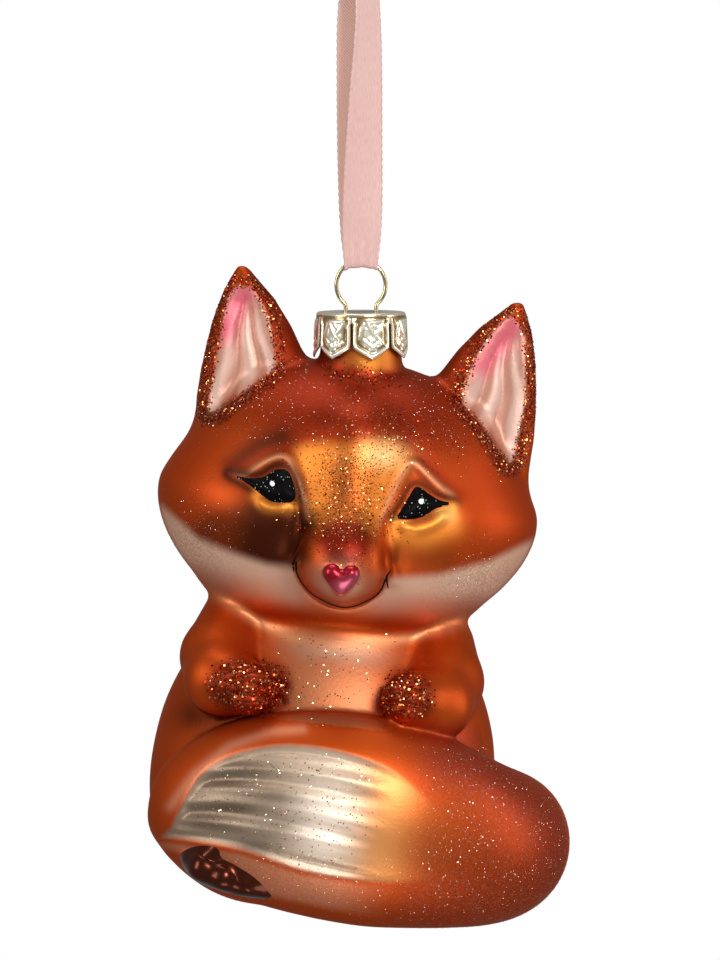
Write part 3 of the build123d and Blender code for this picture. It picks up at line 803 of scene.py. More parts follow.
def make_glitter(look):
    """Five kinds of glitter, scattered on the glass where the brush put glue."""
    glass = glass_surface()
    tree = scatter_group()
    sockets = {item.name: item.identifier for item in tree.interface.items_tree}
    for turn, (name, (density, share, tilt, dark, bright)) in enumerate(GLITTER.items()):
        cover = glass["covers"][name]
        chosen = glass["quads"][cover[glass["quads"]].max(axis=1) > 0.03]
        used, faces = np.unique(chosen, return_inverse=True)
        mesh = new_mesh(name, glass["row"][used] + glass["turned"][used] * 0.06 * MM, faces.reshape(chosen.shape))
        set_points(mesh, "glitter", cover[used])
        thing = placed(name, mesh)
        spread = thing.modifiers.new("Flakes", "NODES")
        spread.node_group = tree
        material = flake_material(name.replace("_", " "), colour(*dark), colour(*bright))
        for socket, value in (("Density", density * look.amount * 1e6), ("Size", share * look.radius),
                              ("Tilt", tilt), ("Seed", look.seed + turn), ("Material", material)):
            spread[sockets[socket]] = value
        depsgraph = bpy.context.evaluated_depsgraph_get()
        flakes = bpy.data.meshes.new_from_object(thing.evaluated_get(depsgraph), depsgraph=depsgraph)
        thing.modifiers.clear()
        thing.data = flakes
        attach(thing, "fox")


def colour(red, green, blue):
    """A display colour, from 0 to 255, as linear light."""
    shares = (value / 255 for value in (red, green, blue))
    return np.array([share / 12.92 if share <= 0.04045 else ((share + 0.055) / 1.055) ** 2.4 for share in shares])


ORANGE = colour(192, 76, 18)
RED_ORANGE = colour(186, 56, 12)
CROWN_BROWN = colour(136, 32, 6)
SNOUT_BROWN = colour(116, 16, 6)
# Dark brown: airbrushed paint under the left eye and along the mouth, and painted shade round the eyes, along the
# brows, beside the nose, down the neck and beside the left paw
BROWN_PAINT_AND_SHADE = colour(50, 14, 4)
GOLD = colour(244, 150, 58)
PALE_CHEEK = colour(216, 186, 160)
PEACH = colour(226, 160, 112)
EAR_PINK = colour(192, 140, 120)
MAGENTA = colour(232, 92, 122)
SILVER = colour(210, 186, 160)
PAW_RED = colour(118, 26, 6)
TAIL_RUST = colour(170, 60, 28)
BEIGE_PINK = colour(212, 140, 104)


def band_between(spots, top, low):
    """How far each spot is below one line across the figure and above another."""
    tops = np.interp(spots[:, 0], [p[0] for p in top], [p[1] for p in top])
    lows = np.interp(spots[:, 0], [p[0] for p in low], [p[1] for p in low])
    return tops - spots[:, 1], spots[:, 1] - lows


def glass_paint_and_light(points, normals, seen, look):
    """The lacquer colour of every point of the glass, with painted shade and painted highlights laid into it, and how
    pearly it is.
    """
    orange, crown, gold, pale, lining, silver = (
        np.array(tint) for tint in (look.orange, look.crown, look.gold, look.pale, look.lining, look.silver))
    u, w = seen.T
    deep = points[:, 1]
    front = smooth_step(0.0, 0.35, -normals[:, 1])
    paint = np.tile(orange, (len(points), 1))

    # lays a tint over the colours: sprayed lacquer and painted shade and highlights alike
    def spray(cover, tint):
        share = np.clip(cover, 0, 1)[:, None]
        paint[:] += share * (tint - paint)

    def stroke(*marks):
        return to_line(seen, marks)[0]

    def inside_of(ring):
        return in_marks(seen, smooth_marks(ring, True))

    # crown and cheeks
    spray(0.92 * smooth_step(-20, -9, points[:, 2]) * smooth_step(0.1, 0.9, 1.2 - np.abs(u) / 26), crown)
    head = smooth_step(-40, -37, w) * (deep < -2)
    face = head * front
    spray(0.5 * head * smooth_step(14, 20, u) * bump((w + 18) / 12, 1.0), RED_ORANGE)
    spray(0.4 * face * bump(stroke((-26, -17), (-22, -22)), 5.0), RED_ORANGE)
    spray((0.55 + 0.37 * smooth_step(-19.0, -13.0, u)) * face * smooth_step(-3.2, 0.8, inside_of(PATCH)), BROWN_PAINT_AND_SHADE)
    spray(0.35 * face * dab(seen, -12, -21, 7.0, 5.5), BROWN_PAINT_AND_SHADE)
    spray(0.7 * face * bump(stroke((7.0, -26.0), (12.0, -26.2), (16.2, -23.8)), 1.7), gold)
    spray(0.45 * face * bump(stroke((7.6, -28.4), (11.0, -29.2), (15.6, -28.6)), 1.7), colour(122, 56, 14))
    spray(0.45 * face * smooth_step(-35.0, -38.5, w), PEACH)
    below_top, above_low = band_between(
        seen, ((-27.9, -24.9), (-21.7, -29.3), (-16.3, -30.8), (-11.0, -31.9), (-6.6, -32.0), (0, -33), (7.2, -32.0),
               (14.9, -30.5), (22.3, -27.6), (29.1, -23.2)),
        ((-21.1, -35.4), (-15.8, -36.8), (-10.5, -37.8), (-6.0, -38.6), (8.0, -37.4), (15.4, -36.4), (20.5, -35.2)))
    in_mouth = in_marks(seen, smooth_marks(MOUTH))
    outside = smooth_step(0.2, -0.7, in_mouth) * smooth_step(1.5, 8.0, np.abs(u))
    cheeks = face * smooth_step(-0.5, 1.5, below_top) * smooth_step(-2.6, 3.4, above_low) * outside
    spray(0.9 * cheeks, pale)
    pearl = 0.8 * cheeks

    # brows, bridge and eyes, with painted shade and painted highlights round the eyes
    # painted shade above the lids, along both brows
    spray(0.8 * face * bump(stroke((-17.8, -17.9), (-16.4, -16.5), (-14.4, -14.6), (-11.2, -13.2)), 2.0), BROWN_PAINT_AND_SHADE)
    spray(0.6 * face * bump(stroke((9.4, -14.2), (12.4, -15.6), (16.2, -18.6)), 1.3), crown)
    spray(0.88 * face * smooth_step(-1.6, 1.4, inside_of(BRIDGE)), gold)
    spray(0.8 * face * dab(seen, -0.2, -20.0, 4.2, 6.6), colour(150, 58, 16))
    # painted highlight near the top of the bridge, right of its middle
    spray(0.85 * face * dab(seen, 4.7, -14.0, 3.0, 1.9), colour(255, 216, 146))
    # painted shade in the hollow between the left eye and the bridge
    spray(0.75 * face * bump(stroke((-8.0, -19.4), (-6.6, -22.6), (-5.2, -25.6)), 1.0), BROWN_PAINT_AND_SHADE)
    # along each lid, a wide band of painted shade and a narrow painted highlight on the lid's ridge
    for lid in (LID_L, LID_R):
        away, share = to_line(seen, smooth_marks(lid))
        spray(0.5 * face * bump(away, 1.5) * smooth_step(1.0, 0.6, share), crown)
        spray(0.6 * face * bump(away, 0.45) * smooth_step(0, 0.1, share), PEACH)
    for eye, bag in ((EYE_L, BAG_L), (EYE_R, BAG_R)):
        # painted shadow round the edge of each eye
        spray(0.85 * face * bump(inside_of(eye) + 0.5, 0.7), BROWN_PAINT_AND_SHADE)
        spray(0.8 * face * bump(stroke(*smooth_marks(bag)), 0.8), gold)
    # painted highlight on the right eye's lower lid
    spray(0.7 * face * dab(seen, 15.2, -21.9, 1.4, 1.2), colour(255, 200, 110))

    # snout and ears
    spray(0.95 * face * smooth_step(5.0, 2.4, np.hypot((u - 0.2) / 1.15, w + 27.6)), SNOUT_BROWN)
    spray(0.5 * face * smooth_step(-1.0, 0.8, in_mouth), colour(206, 100, 50))
    spray(0.8 * face * dab(seen, 0.3, -34.2, 3.7, 2.5), pale)
    spray(0.4 * head * bump(stroke(*smooth_marks(MOUTH)), 0.3), BROWN_PAINT_AND_SHADE)
    for ear, tip, foot in ((EAR_L, (-19.4, 7.6), (-21.6, 1.8)), (EAR_R, (21.6, 7.4), (18.0, 1.2))):
        inside = inside_of(ear)
        on_ear = front * (deep > -9) * (w < 11.5)
        spray(0.75 * on_ear * smooth_step(-2.6, -1.0, inside), PAW_RED)
        cover = smooth_step(-0.25, 0.25, inside) * on_ear * (w < 10.5)
        spray(cover, lining)
        across = (u - tip[0] - 0.2) / np.maximum(tip[1] + 3.8 - w, 2.0)
        strand = np.abs(np.sin(across * 13.0 + 0.35 * np.sin(w * 0.6)))
        spray(0.5 * cover * smooth_step(0.5, 0.95, strand) * smooth_step(9.0, 3.0, w), colour(238, 210, 196))
        pearl = np.maximum(pearl, 0.5 * cover)
        spray(0.75 * cover * bump(stroke(tip, foot), 1.9), MAGENTA)

    # chest, neck and paws, with painted light below the chin and painted shade down the neck and beside the left paw
    body = smooth_step(-37, -41, w) * front
    chest = smooth_step(11.0, 4.0, stroke((0.6, -43.5), (0.8, -52.0)))
    spray(0.7 * body * chest * smooth_step(-40.5, -43.5, w) * (w > -55.5), colour(184, 124, 86))
    # painted highlight: a pale band of light across the top of the chest
    spray(0.5 * body * dab(seen, 0.8, -44.4, 7.0, 1.5), colour(220, 186, 160))
    neck = smooth_step(-1.5, 0.0, points[:, 2]) * front
    spray(0.95 * neck * bump(u - 1.2, 3.4), gold)
    # painted shade down the left side of the neck
    spray(0.6 * neck * bump(u + 5.2, 1.6), BROWN_PAINT_AND_SHADE)
    # painted highlight along the collar, below the chin and over the shoulders
    collar = stroke((-17.0, -38.6), (-12.0, -41.2), (-5.8, -43.0), (1.0, -43.2), (8.6, -42.0), (17.6, -38.8))
    spray(0.7 * body * bump(collar, 0.9), PEACH)
    for paw in (PAW_L, PAW_R):
        spray(0.9 * smooth_step(-1.4, 1.0, inside_of(paw)) * body * (deep < -9), PAW_RED)
    # painted shadow between the left paw and the tail
    spray(0.75 * body * bump(stroke((-19.6, -56.4), (-13.5, -57.0), (-16.8, -59.8)), 2.8) * (deep > -17), BROWN_PAINT_AND_SHADE)

    # tail, with its pearly field, a painted highlight on that field and the pale lines round it
    tail = (deep < -6) * smooth_step(-52.0, -54.0, w)
    spray(0.6 * tail * smooth_step(6, 20, u), TAIL_RUST)
    spray(0.6 * tail * bump(stroke((20, -58.5), (28, -60.5), (36.6, -66.0), (38.5, -73.0)), 4.0), colour(156, 60, 46))
    spray(0.6 * tail * dab(seen, 19.0, -70.0, 5.5, 6.0), colour(182, 82, 24))
    cover = tail * front * smooth_step(-0.4, 0.6, in_tail_white(seen))
    spray(cover * (1 - smooth_step(6, 14, u)), silver * (0.62 + 0.38 * smooth_step(-14, 0, u))[:, None])
    for a, b in TAIL_SHADES:
        spray(0.6 * cover * bump(np.hypot((u - a - 0.4 * (w - b)) / 4.2, (w - b) / 1.5), 1.0), colour(92, 74, 58))
    # painted highlight on the pearly field, which is also made less metallic there
    lit = cover * dab(seen, 2.4, -70, 4.6, 7.0)
    spray(0.85 * lit, colour(250, 236, 220))
    pearl = np.maximum(pearl, 0.6 * lit)
    spray(0.8 * cover * bump((u - 11.0) / 4.6, 1.0), colour(232, 156, 84))
    strip = stroke((-21.6, -70.6), (-18.4, -65.2), (-13.6, -60.4), (-8.0, -57.6), (-3.0, -56.6))
    spray(0.75 * tail * front * bump(strip, 0.8), BEIGE_PINK)
    below_top, above_low = band_between(seen, WHITE_LOW, ((-22, -77.0), (-13, -78.4), (-5, -82.4), (4, -83.2),
                                                          (16, -84.0), (26, -84)))
    spray(0.8 * tail * front * smooth_step(0.3, 1.2, below_top) * smooth_step(-0.6, 0.8, above_low)
          * (1 - smooth_step(2, 14, u)), BEIGE_PINK)
    return paint, pearl


def new_mesh(name, points, faces, corners=4):
    """A mesh from arrays of points, in metres, and faces."""
    mesh = bpy.data.meshes.new(name)
    mesh.vertices.add(len(points))
    mesh.vertices.foreach_set("co", np.asarray(points, dtype=np.float32).ravel())
    mesh.loops.add(faces.size)
    mesh.loops.foreach_set("vertex_index", faces.astype(np.int32).ravel())
    mesh.polygons.add(len(faces))
    mesh.polygons.foreach_set("loop_start", np.arange(0, faces.size, corners, dtype=np.int32))
    mesh.update(calc_edges=True)
    mesh.shade_smooth()
    return mesh


def placed(name, mesh, *materials):
    """An object at the origin that shows the mesh."""
    thing = bpy.data.objects.new(name, mesh)
    bpy.context.scene.collection.objects.link(thing)
    for material in materials:
        mesh.materials.append(material)
    return thing


def set_points(mesh, name, values):
    """Stores one colour or one number on every point of a mesh."""
    if values.ndim == 2:
        layer = mesh.attributes.new(name, "FLOAT_COLOR", "POINT")
        layer.data.foreach_set("color", np.column_stack([values, np.ones(len(values))]).astype(np.float32).ravel())
    else:
        layer = mesh.attributes.new(name, "FLOAT", "POINT")
        layer.data.foreach_set("value", values.astype(np.float32))


def new_material(name):
    """A material with its node tree and its shader."""
    material = bpy.data.materials.new(name)
    material.use_nodes = True
    return material, material.node_tree, material.node_tree.nodes["Principled BSDF"]


def lacquered_glass(look):
    """Silvered glass under satin lacquer; the lacquer looks deeper at a slant."""
    material, tree, shader = new_material("Lacquered Glass")
    lacquer, frost, pearl = (node(tree, "ShaderNodeAttribute", attribute_name=name)
                             for name in ("lacquer", "frost", "pearl"))
    place = node(tree, "ShaderNodeTexCoord")
    slant = node(tree, "ShaderNodeLayerWeight", {"Blend": 0.35})
    deeper = node(tree, "ShaderNodeMix", {"Factor": slant.outputs["Facing"], "A": lacquer.outputs["Color"],
                                          "B": (0.78, 0.5, 0.4, 1)}, data_type="RGBA", blend_type="MULTIPLY")
    dust = node(tree, "ShaderNodeTexNoise", {"Scale": 3200, "Detail": 1, "Vector": place.outputs["Object"]})
    level = node(tree, "ShaderNodeMapRange", {"From Min": 0.35, "From Max": 0.65, "To Min": 0.78, "To Max": 1.28,
                                              "Value": dust.outputs["Fac"]})
    speckled = node(tree, "ShaderNodeMix", {"Factor": frost.outputs["Fac"], "A": deeper.outputs["Result"],
                                            "B": level.outputs["Result"]}, data_type="RGBA", blend_type="MULTIPLY")
    peel = node(tree, "ShaderNodeTexNoise", {"Scale": 2600, "Vector": place.outputs["Object"]})
    raised = node(tree, "ShaderNodeBump", {"Strength": 0.25, "Distance": 0.1 * MM, "Height": peel.outputs["Fac"]})
    milky = node(tree, "ShaderNodeMapRange", {"To Min": look.silvering, "To Max": 0.1, "Value": pearl.outputs["Fac"]})
    join(tree, shader, {"Base Color": speckled.outputs["Result"], "Normal": raised.outputs["Normal"],
                        "Metallic": milky.outputs["Result"], "Roughness": look.satin,
                        "Specular Tint": (1.0, 0.62, 0.42, 1), "Coat Weight": 0.04, "Coat Roughness": 0.35})
    return material


def make_stage(look):
    """Camera, soft lights and a white background."""
    scene = bpy.context.scene
    scene.view_settings.view_transform = "Standard"
    camera = bpy.data.objects.new("Camera", bpy.data.cameras.new("Camera"))
    scene.collection.objects.link(camera)
    aim = Vector(VIEW_AIM * MM)
    back = Vector((0, -cos(VIEW_LIFT), sin(VIEW_LIFT)))
    camera.location = aim + back * VIEW_DISTANCE * MM
    camera.rotation_euler = back.to_track_quat("Z", "Y").to_euler()
    camera.data.sensor_fit = "VERTICAL"
    camera.data.sensor_height = SENSOR_HEIGHT
    camera.data.lens = SENSOR_HEIGHT * VIEW_DISTANCE / VIEW_HEIGHT
    camera.data.clip_start = 0.05
    scene.camera = camera
    world = bpy.data.worlds.new("Studio White")
    world.use_nodes = True
    scene.world = world
    tree = world.node_tree
    fill = tree.nodes["Background"]
    join(tree, fill, {"Color": (0.86, 0.88, 0.92, 1), "Strength": look.fill})
    white = node(tree, "ShaderNodeBackground", {"Color": (1, 1, 1, 1), "Strength": 1.0})
    path = node(tree, "ShaderNodeLightPath")
    mix = node(tree, "ShaderNodeMixShader", {"Fac": path.outputs["Is Camera Ray"], 1: fill.outputs["Background"],
                                             2: white.outputs["Background"]})
    join(tree, tree.nodes["World Output"], {"Surface": mix.outputs["Shader"]})
    for name, place, size, share in (("Key Softbox", (0.36, -0.85, 0.42), (0.34, 0.34), 1.0),
                                     ("Left Softbox", (-0.75, -0.5, 0.3), (0.3, 0.6), 0.5),
                                     ("Right Softbox", (0.9, -0.1, 0.1), (0.3, 0.7), 0.32),
                                     ("Top Softbox", (0.0, 0.1, 0.8), (0.6, 0.5), 0.42),
                                     ("Low Card", (0.1, -0.55, -0.65), (0.5, 0.3), 0.22)):
        light = bpy.data.lights.new(name, "AREA")
        light.shape = "RECTANGLE"
        light.size, light.size_y = size
        light.energy = look.key * share
        lamp = bpy.data.objects.new(name, light)
        lamp.location = aim + Vector(place)
        lamp.rotation_euler = Vector(place).to_track_quat("Z", "Y").to_euler()
        scene.collection.objects.link(lamp)


@cache
def glass_surface():
    """The carved glass: its points, faces, normals, what the camera sees, its place in the row and its glitter."""
    points, quads = shape_glass()
    normals = point_normals(points, quads)
    points = points + normals * relief(points, normals, seen_at(points))[:, None]
    points = relax(points, quads, 1, 0.3)
    normals = point_normals(points, quads)
    seen = seen_at(points)
    return {"points": points, "quads": quads, "normals": normals, "seen": seen, "row": row_place(points) * MM,
            "turned": normals @ TO_ROW.T, "covers": glitter_cover(seen, points, normals)}


def make_glass(look):
    """The head and the body of the blown glass, with their sprayed lacquer, painted shade and painted highlights."""
    glass = glass_surface()
    paint, pearl = glass_paint_and_light(glass["points"], glass["normals"], glass["seen"], look)
    material = lacquered_glass(look)
    middles = glass["points"][glass["quads"]].mean(axis=1)
    head = middles[:, 2] > -38.0 + 0.2 * middles[:, 1]
    for name, chosen in (("Blown_Head", glass["quads"][head]), ("Blown_Body", glass["quads"][~head])):
        used, faces = np.unique(chosen, return_inverse=True)
        mesh = new_mesh(name, glass["row"][used], faces.reshape(chosen.shape))
        # the lacquer colours carry the painted shade and painted highlights along with the paint
        set_points(mesh, "lacquer", paint[used])
        set_points(mesh, "pearl", pearl[used])
        set_points(mesh, "frost", glass["covers"]["Frost_Glitter"][used])
        mesh.normals_split_custom_set_from_vertices(glass["turned"][used])
        thing = placed(name, mesh, material)
        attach(thing, "fox")
        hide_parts("glass_body")


def stroke_height(across, down, strokes):
    """Height of the pressed pattern at each spot of a petal: the highest stroke there."""
    high = np.zeros(across.shape)
    spots = np.column_stack([across.ravel(), down.ravel()])
    for marks, half, rise in strokes:
        away, _ = to_line(spots, marks)
        high = np.maximum(high, rise * bump(away.reshape(across.shape) / half, 1.0))
    return high


# The die's pattern on every petal, in millimetres across and down: marks, half width, height
PRESSED = (
    (((-0.75, 0.95), (1.75, 0.8)), 0.24, 0.16), (((-0.6, 1.15), (-0.15, 2.15), (0.45, 3.0)), 0.2, 0.15),
    (((1.7, 1.1), (1.25, 1.9), (0.55, 2.6)), 0.2, 0.15), (((0.35, 1.35), (0.8, 1.75)), 0.24, 0.14),
    (((0.5, 3.0), (0.1, 3.7), (-0.4, 3.5)), 0.18, 0.14), (((0.6, 3.0), (1.2, 3.6), (0.95, 4.1)), 0.18, 0.14),
    (((-1.3, 1.1), (-1.75, 2.3), (-2.05, 3.6)), 0.15, 0.12), (((-0.95, 1.9), (-1.15, 2.9)), 0.14, 0.1),
    (((2.05, 1.3), (2.5, 2.6), (2.35, 3.6)), 0.2, 0.15), (((-1.35, 3.5), (-0.9, 3.95), (-1.25, 4.35)), 0.16, 0.13),
    (((-0.35, 4.3), (0.0, 4.75), (0.45, 4.4)), 0.16, 0.13), (((0.95, 4.55), (1.35, 4.2)), 0.17, 0.12),
    (((1.75, 3.9), (1.95, 4.3)), 0.17, 0.12), (((-0.5, 5.1), (-0.4, 5.15)), 0.17, 0.12),
    (((0.45, 5.15), (0.55, 5.1)), 0.17, 0.12),
)
PETALS = 7
PETAL_TURN = radians(14.0)
CAP_TALL = (CAP_HIGH.z - CAP_LOW.z) / MM
CAP_RADIUS = 6.75
PETAL_RADIUS = 7.0
PETAL_POINT = 1.7
SHOULDER = 0.4
HOLE_ACROSS = 2.3
HOLE_RADIUS = 0.45


def petal_grid(columns, rows):
    """One petal flattened: angle from its middle, height below the top and pressed height."""
    s, t = np.meshgrid(np.linspace(-1, 1, columns), np.linspace(0, 1, rows))
    notch = CAP_TALL - SHOULDER - PETAL_POINT
    low = notch + PETAL_POINT * (1 - np.abs(s)) ** 0.9
    down = low * t
    slit = 0.16 * smooth_step(1.0, 1.4, down) + 0.09 * smooth_step(notch - 0.8, notch, down)
    half = pi * PETAL_RADIUS / PETALS - slit
    across = half * s
    inner = np.minimum(half - np.abs(across), (low - down) * 0.85)
    ridge = 0.17 * bump(inner - 0.36, 0.24) - 0.1 * bump(inner - 0.85, 0.22) * (down > 0.7)
    pattern = stroke_height(across, down, PRESSED) * smooth_step(0.55, 0.95, inner)
    dome = 0.12 * np.cos(s * pi / 2) ** 2 * smooth_step(0.2, 1.6, down)
    return across / PETAL_RADIUS, down, (ridge + pattern) * smooth_step(0.05, 0.5, down) + dome


def close_top(form, top):
    """Fills the middle of the cap's flat top, with the two wire holes left open."""
    rim = [v for v in form.verts if v.is_boundary and v.co.z > (top - 0.2) * MM]
    rim.sort(key=lambda v: atan2(v.co.y, v.co.x))
    spots = [Vector((v.co.x, v.co.y)) / MM for v in rim]
    edges = [(i, (i + 1) % len(rim)) for i in range(len(rim))]
    holes = (-HOLE_ACROSS, HOLE_ACROSS)
    for hole in holes:
        begin = len(spots)
        spots += [Vector((hole + HOLE_RADIUS * cos(a), HOLE_RADIUS * sin(a))) for a in np.arange(20) * pi / 10]
        edges += [(begin + i, begin + (i + 1) % 20) for i in range(20)]
    spots += [Vector((x, y)) for x in np.arange(-2.6, 2.7, 0.65) for y in np.arange(-2.6, 2.7, 0.65)
              if hypot(x, y) < 2.75 and min(hypot(x - h, y) for h in holes) > 0.7]
    flat, _, sides, *_ = delaunay_2d_cdt(spots, edges, [], 0, 1e-5)
    level = rim[0].co.z
    corners = [form.verts.new((p.x * MM, p.y * MM, level)) for p in flat]
    for face in sides:
        middle = sum((flat[i] for i in face), Vector((0, 0))) / len(face)
        if min(hypot(middle.x - h, middle.y) for h in holes) > HOLE_RADIUS - 0.01 and middle.length < 3.02:
            form.faces.new([corners[i] for i in face])


def make_cap(look):
    """The stamped cap: a rounded top with two wire holes and seven embossed petals."""
    columns, rows = 41, 46
    angle, down, pressed = petal_grid(columns, rows)
    top = CAP_HIGH.z / MM
    out = CAP_RADIUS + 0.3 * down / CAP_TALL + pressed
    middles = [PETAL_TURN + 2 * pi * petal / PETALS for petal in range(PETALS)]
    points, faces = [], []
    for petal, middle in enumerate(middles):
        turn = middle + angle
        places = np.stack([out * np.sin(turn), -out * np.cos(turn), top - SHOULDER - down], axis=-1)
        points.append(places.reshape(-1, 3))
        faces.append(grid_faces(rows, columns, petal * rows * columns))
    # rows from the petals' tops inwards, over the rounded edge and the flat top
    steps = [(CAP_RADIUS - SHOULDER * (1 - cos(a)), top - SHOULDER + SHOULDER * sin(a))
             for a in np.linspace(0, pi / 2, 9)]
    steps += [(r, top - 0.03 * smooth_step(6.0, 2.0, r)) for r in (5.4, 4.6, 3.6, 3.0)]
    ring = np.concatenate([middle + angle[0][:-1] for middle in middles])
    points.append(np.array([(r * sin(a), -r * cos(a), z) for r, z in steps for a in ring]))
    grid = PETALS * rows * columns + np.arange(len(steps) * len(ring)).reshape(len(steps), len(ring))
    after = np.roll(grid, -1, axis=1)
    faces.append(np.stack([grid[1:], after[1:], after[:-1], grid[:-1]], axis=-1).reshape(-1, 4))
    mesh = new_mesh("Cap", np.vstack(points) * MM, np.vstack(faces))
    set_points(mesh, "press", np.concatenate([np.tile(pressed.ravel(), PETALS), np.full(grid.size, 0.08)]))
    cap = placed("Stamped_Cap", mesh, champagne_plate(look))
    form = bmesh.new()
    form.from_mesh(mesh)
    bmesh.ops.remove_doubles(form, verts=form.verts, dist=0.004 * MM)
    close_top(form, top)
    bmesh.ops.remove_doubles(form, verts=form.verts, dist=0.004 * MM)
    bmesh.ops.recalc_face_normals(form, faces=form.faces)
    form.to_mesh(mesh)
    form.free()
    mesh.shade_smooth()
    thick = cap.modifiers.new("Sheet", "SOLIDIFY")
    thick.thickness = look.sheet
    thick.offset = -1
    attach(cap, "cap")
    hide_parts("cap")


def champagne_plate(look):
    """Thin plated sheet, brighter on its raised lines and darker in the pressed hollows: painted highlight and
    painted shade on one plating.
    """
    material, tree, shader = new_material("Champagne Plate")
    press = node(tree, "ShaderNodeAttribute", attribute_name="press")
    place = node(tree, "ShaderNodeTexCoord")
    grain = node(tree, "ShaderNodeTexNoise", {"Scale": 900, "Detail": 2, "Vector": place.outputs["Object"]})
    rough = node(tree, "ShaderNodeMapRange", {"To Min": 0.14, "To Max": 0.34, "Value": grain.outputs["Fac"]})
    # painted highlight on the raised lines and painted shade in the hollows, by the pressed height
    tint = ramp(tree, press.outputs["Fac"], look.hollow, look.raised, 0.13)
    join(tree, shader, {"Base Color": tint, "Roughness": rough.outputs["Result"], "Metallic": 0.72})
    return material


def spring_wire(look):
    """Plated spring wire, a little mottled."""
    material, tree, shader = new_material("Champagne Wire")
    place = node(tree, "ShaderNodeTexCoord")
    grain = node(tree, "ShaderNodeTexNoise", {"Scale": 1500, "Vector": place.outputs["Object"]})
    tint = ramp(tree, grain.outputs["Fac"], np.array(look.wire) * 0.5, look.wire)
    join(tree, shader, {"Base Color": tint, "Metallic": 1.0, "Roughness": 0.2})
    return material


@cache
def woven_threads():
    """Shader group: long fine threads crossed by a slanted weave, as a colour and a height."""
    tree, given, out = node_group("Woven Threads", "ShaderNodeTree", (
        ("Place", "NodeSocketVector", (0, 0, 0)), ("Stretch", "NodeSocketVector", (1, 8, 1)),
        ("Weave Scale", "NodeSocketFloat", 1.2), ("Weave Share", "NodeSocketFloat", 0.3),
        ("Dark", "NodeSocketColor", (0.6, 0.3, 0.25, 1)), ("Bright", "NodeSocketColor", (0.9, 0.6, 0.5, 1))),
        (("Colour", "NodeSocketColor"), ("Height", "NodeSocketFloat")))
    place = given.outputs["Place"]
    stretch = node(tree, "ShaderNodeVectorMath", {0: place, 1: given.outputs["Stretch"]}, operation="MULTIPLY")
    threads = node(tree, "ShaderNodeTexNoise", {"Scale": 1.0, "Detail": 3, "Vector": stretch.outputs["Vector"]})
    slant = node(tree, "ShaderNodeTexWave", {"Distortion": 1.2, "Detail": 1, "Vector": place,
                                             "Scale": given.outputs["Weave Scale"]},
                 wave_type="BANDS", bands_direction="DIAGONAL")
    total = node(tree, "ShaderNodeMix", {"Factor": given.outputs["Weave Share"], "A": threads.outputs["Fac"],
                                         "B": slant.outputs["Fac"]}, data_type="FLOAT")
    share = node(tree, "ShaderNodeMapRange", {"From Min": 0.25, "From Max": 0.72, "Value": total.outputs["Result"]})
    mix = node(tree, "ShaderNodeMix", {"Factor": share.outputs["Result"], "A": given.outputs["Dark"],
                                       "B": given.outputs["Bright"]}, data_type="RGBA")
    join(tree, out, {"Colour": mix.outputs["Result"], "Height": total.outputs["Result"]})
    return tree


def satin(name, stretch, scale, share, dark, bright, rough):
    """One face of the ribbon."""
    material, tree, shader = new_material(name)
    place = node(tree, "ShaderNodeUVMap", uv_map="weave")
    weave = node(tree, "ShaderNodeGroup", {"Place": place.outputs["UV"], "Stretch": stretch, "Weave Scale": scale,
                                           "Weave Share": share, "Dark": (*dark, 1), "Bright": (*bright, 1)},
                 node_tree=woven_threads())
    raised = node(tree, "ShaderNodeBump", {"Strength": 0.5, "Distance": 0.05 * MM, "Height": weave.outputs["Height"]})
    join(tree, shader, {"Base Color": weave.outputs["Colour"], "Normal": raised.outputs["Normal"],
                        "Roughness": rough, "Sheen Weight": 0.25, "Sheen Roughness": 0.4})
    return material


@cache
def satin_sides():
    """The ribbon's smooth face and its twill back."""
    look = bpy.context.scene.fox_ribbon
    return (satin("Pink Satin", (0.9, 9.0, 1.0), 1.4, 0.22, look.shade, look.shine, 0.45),
            # the back's threads are paler than the face's: painted light that lifts the back strand out of the shade
            # it hangs in
            satin("Pink Twill Back", (3.0, 5.0, 1.0), 1.4, 0.4, look.twill_shade, look.twill_shine, 0.6))


def spline_line(name, route, count):
    """Evenly stepped points read from the smooth spline that a route's points control."""
    curve = bpy.data.curves.new(name, "CURVE")
    curve.dimensions = "3D"
    spline = curve.splines.new("NURBS")
    spline.points.add(len(route) - 1)
    for point, place in zip(spline.points, route):
        point.co = (*place, 1)
    spline.order_u = 3
    spline.use_endpoint_u = True
    spline.resolution_u = 24
    guide = bpy.data.objects.new(name, curve)
    mesh = bpy.data.meshes.new_from_object(guide)
    points = np.empty(3 * len(mesh.vertices))
    mesh.vertices.foreach_get("co", points)
    points = points.reshape(-1, 3)
    for block, thing in ((bpy.data.objects, guide), (bpy.data.curves, curve), (bpy.data.meshes, mesh)):
        block.remove(thing)
    run = run_along(points)
    even = np.linspace(0, run[-1], count)
    return np.stack([np.interp(even, run, axis) for axis in points.T], axis=1)


def weave_places(run, share):
    """Where each point of a ribbon lies in its weave: along it and across it, in millimetres."""
    along, across = np.meshgrid(run, share * RIBBON_WIDTH / 2, indexing="ij")
    return np.stack([along, across], axis=-1).reshape(-1, 2)


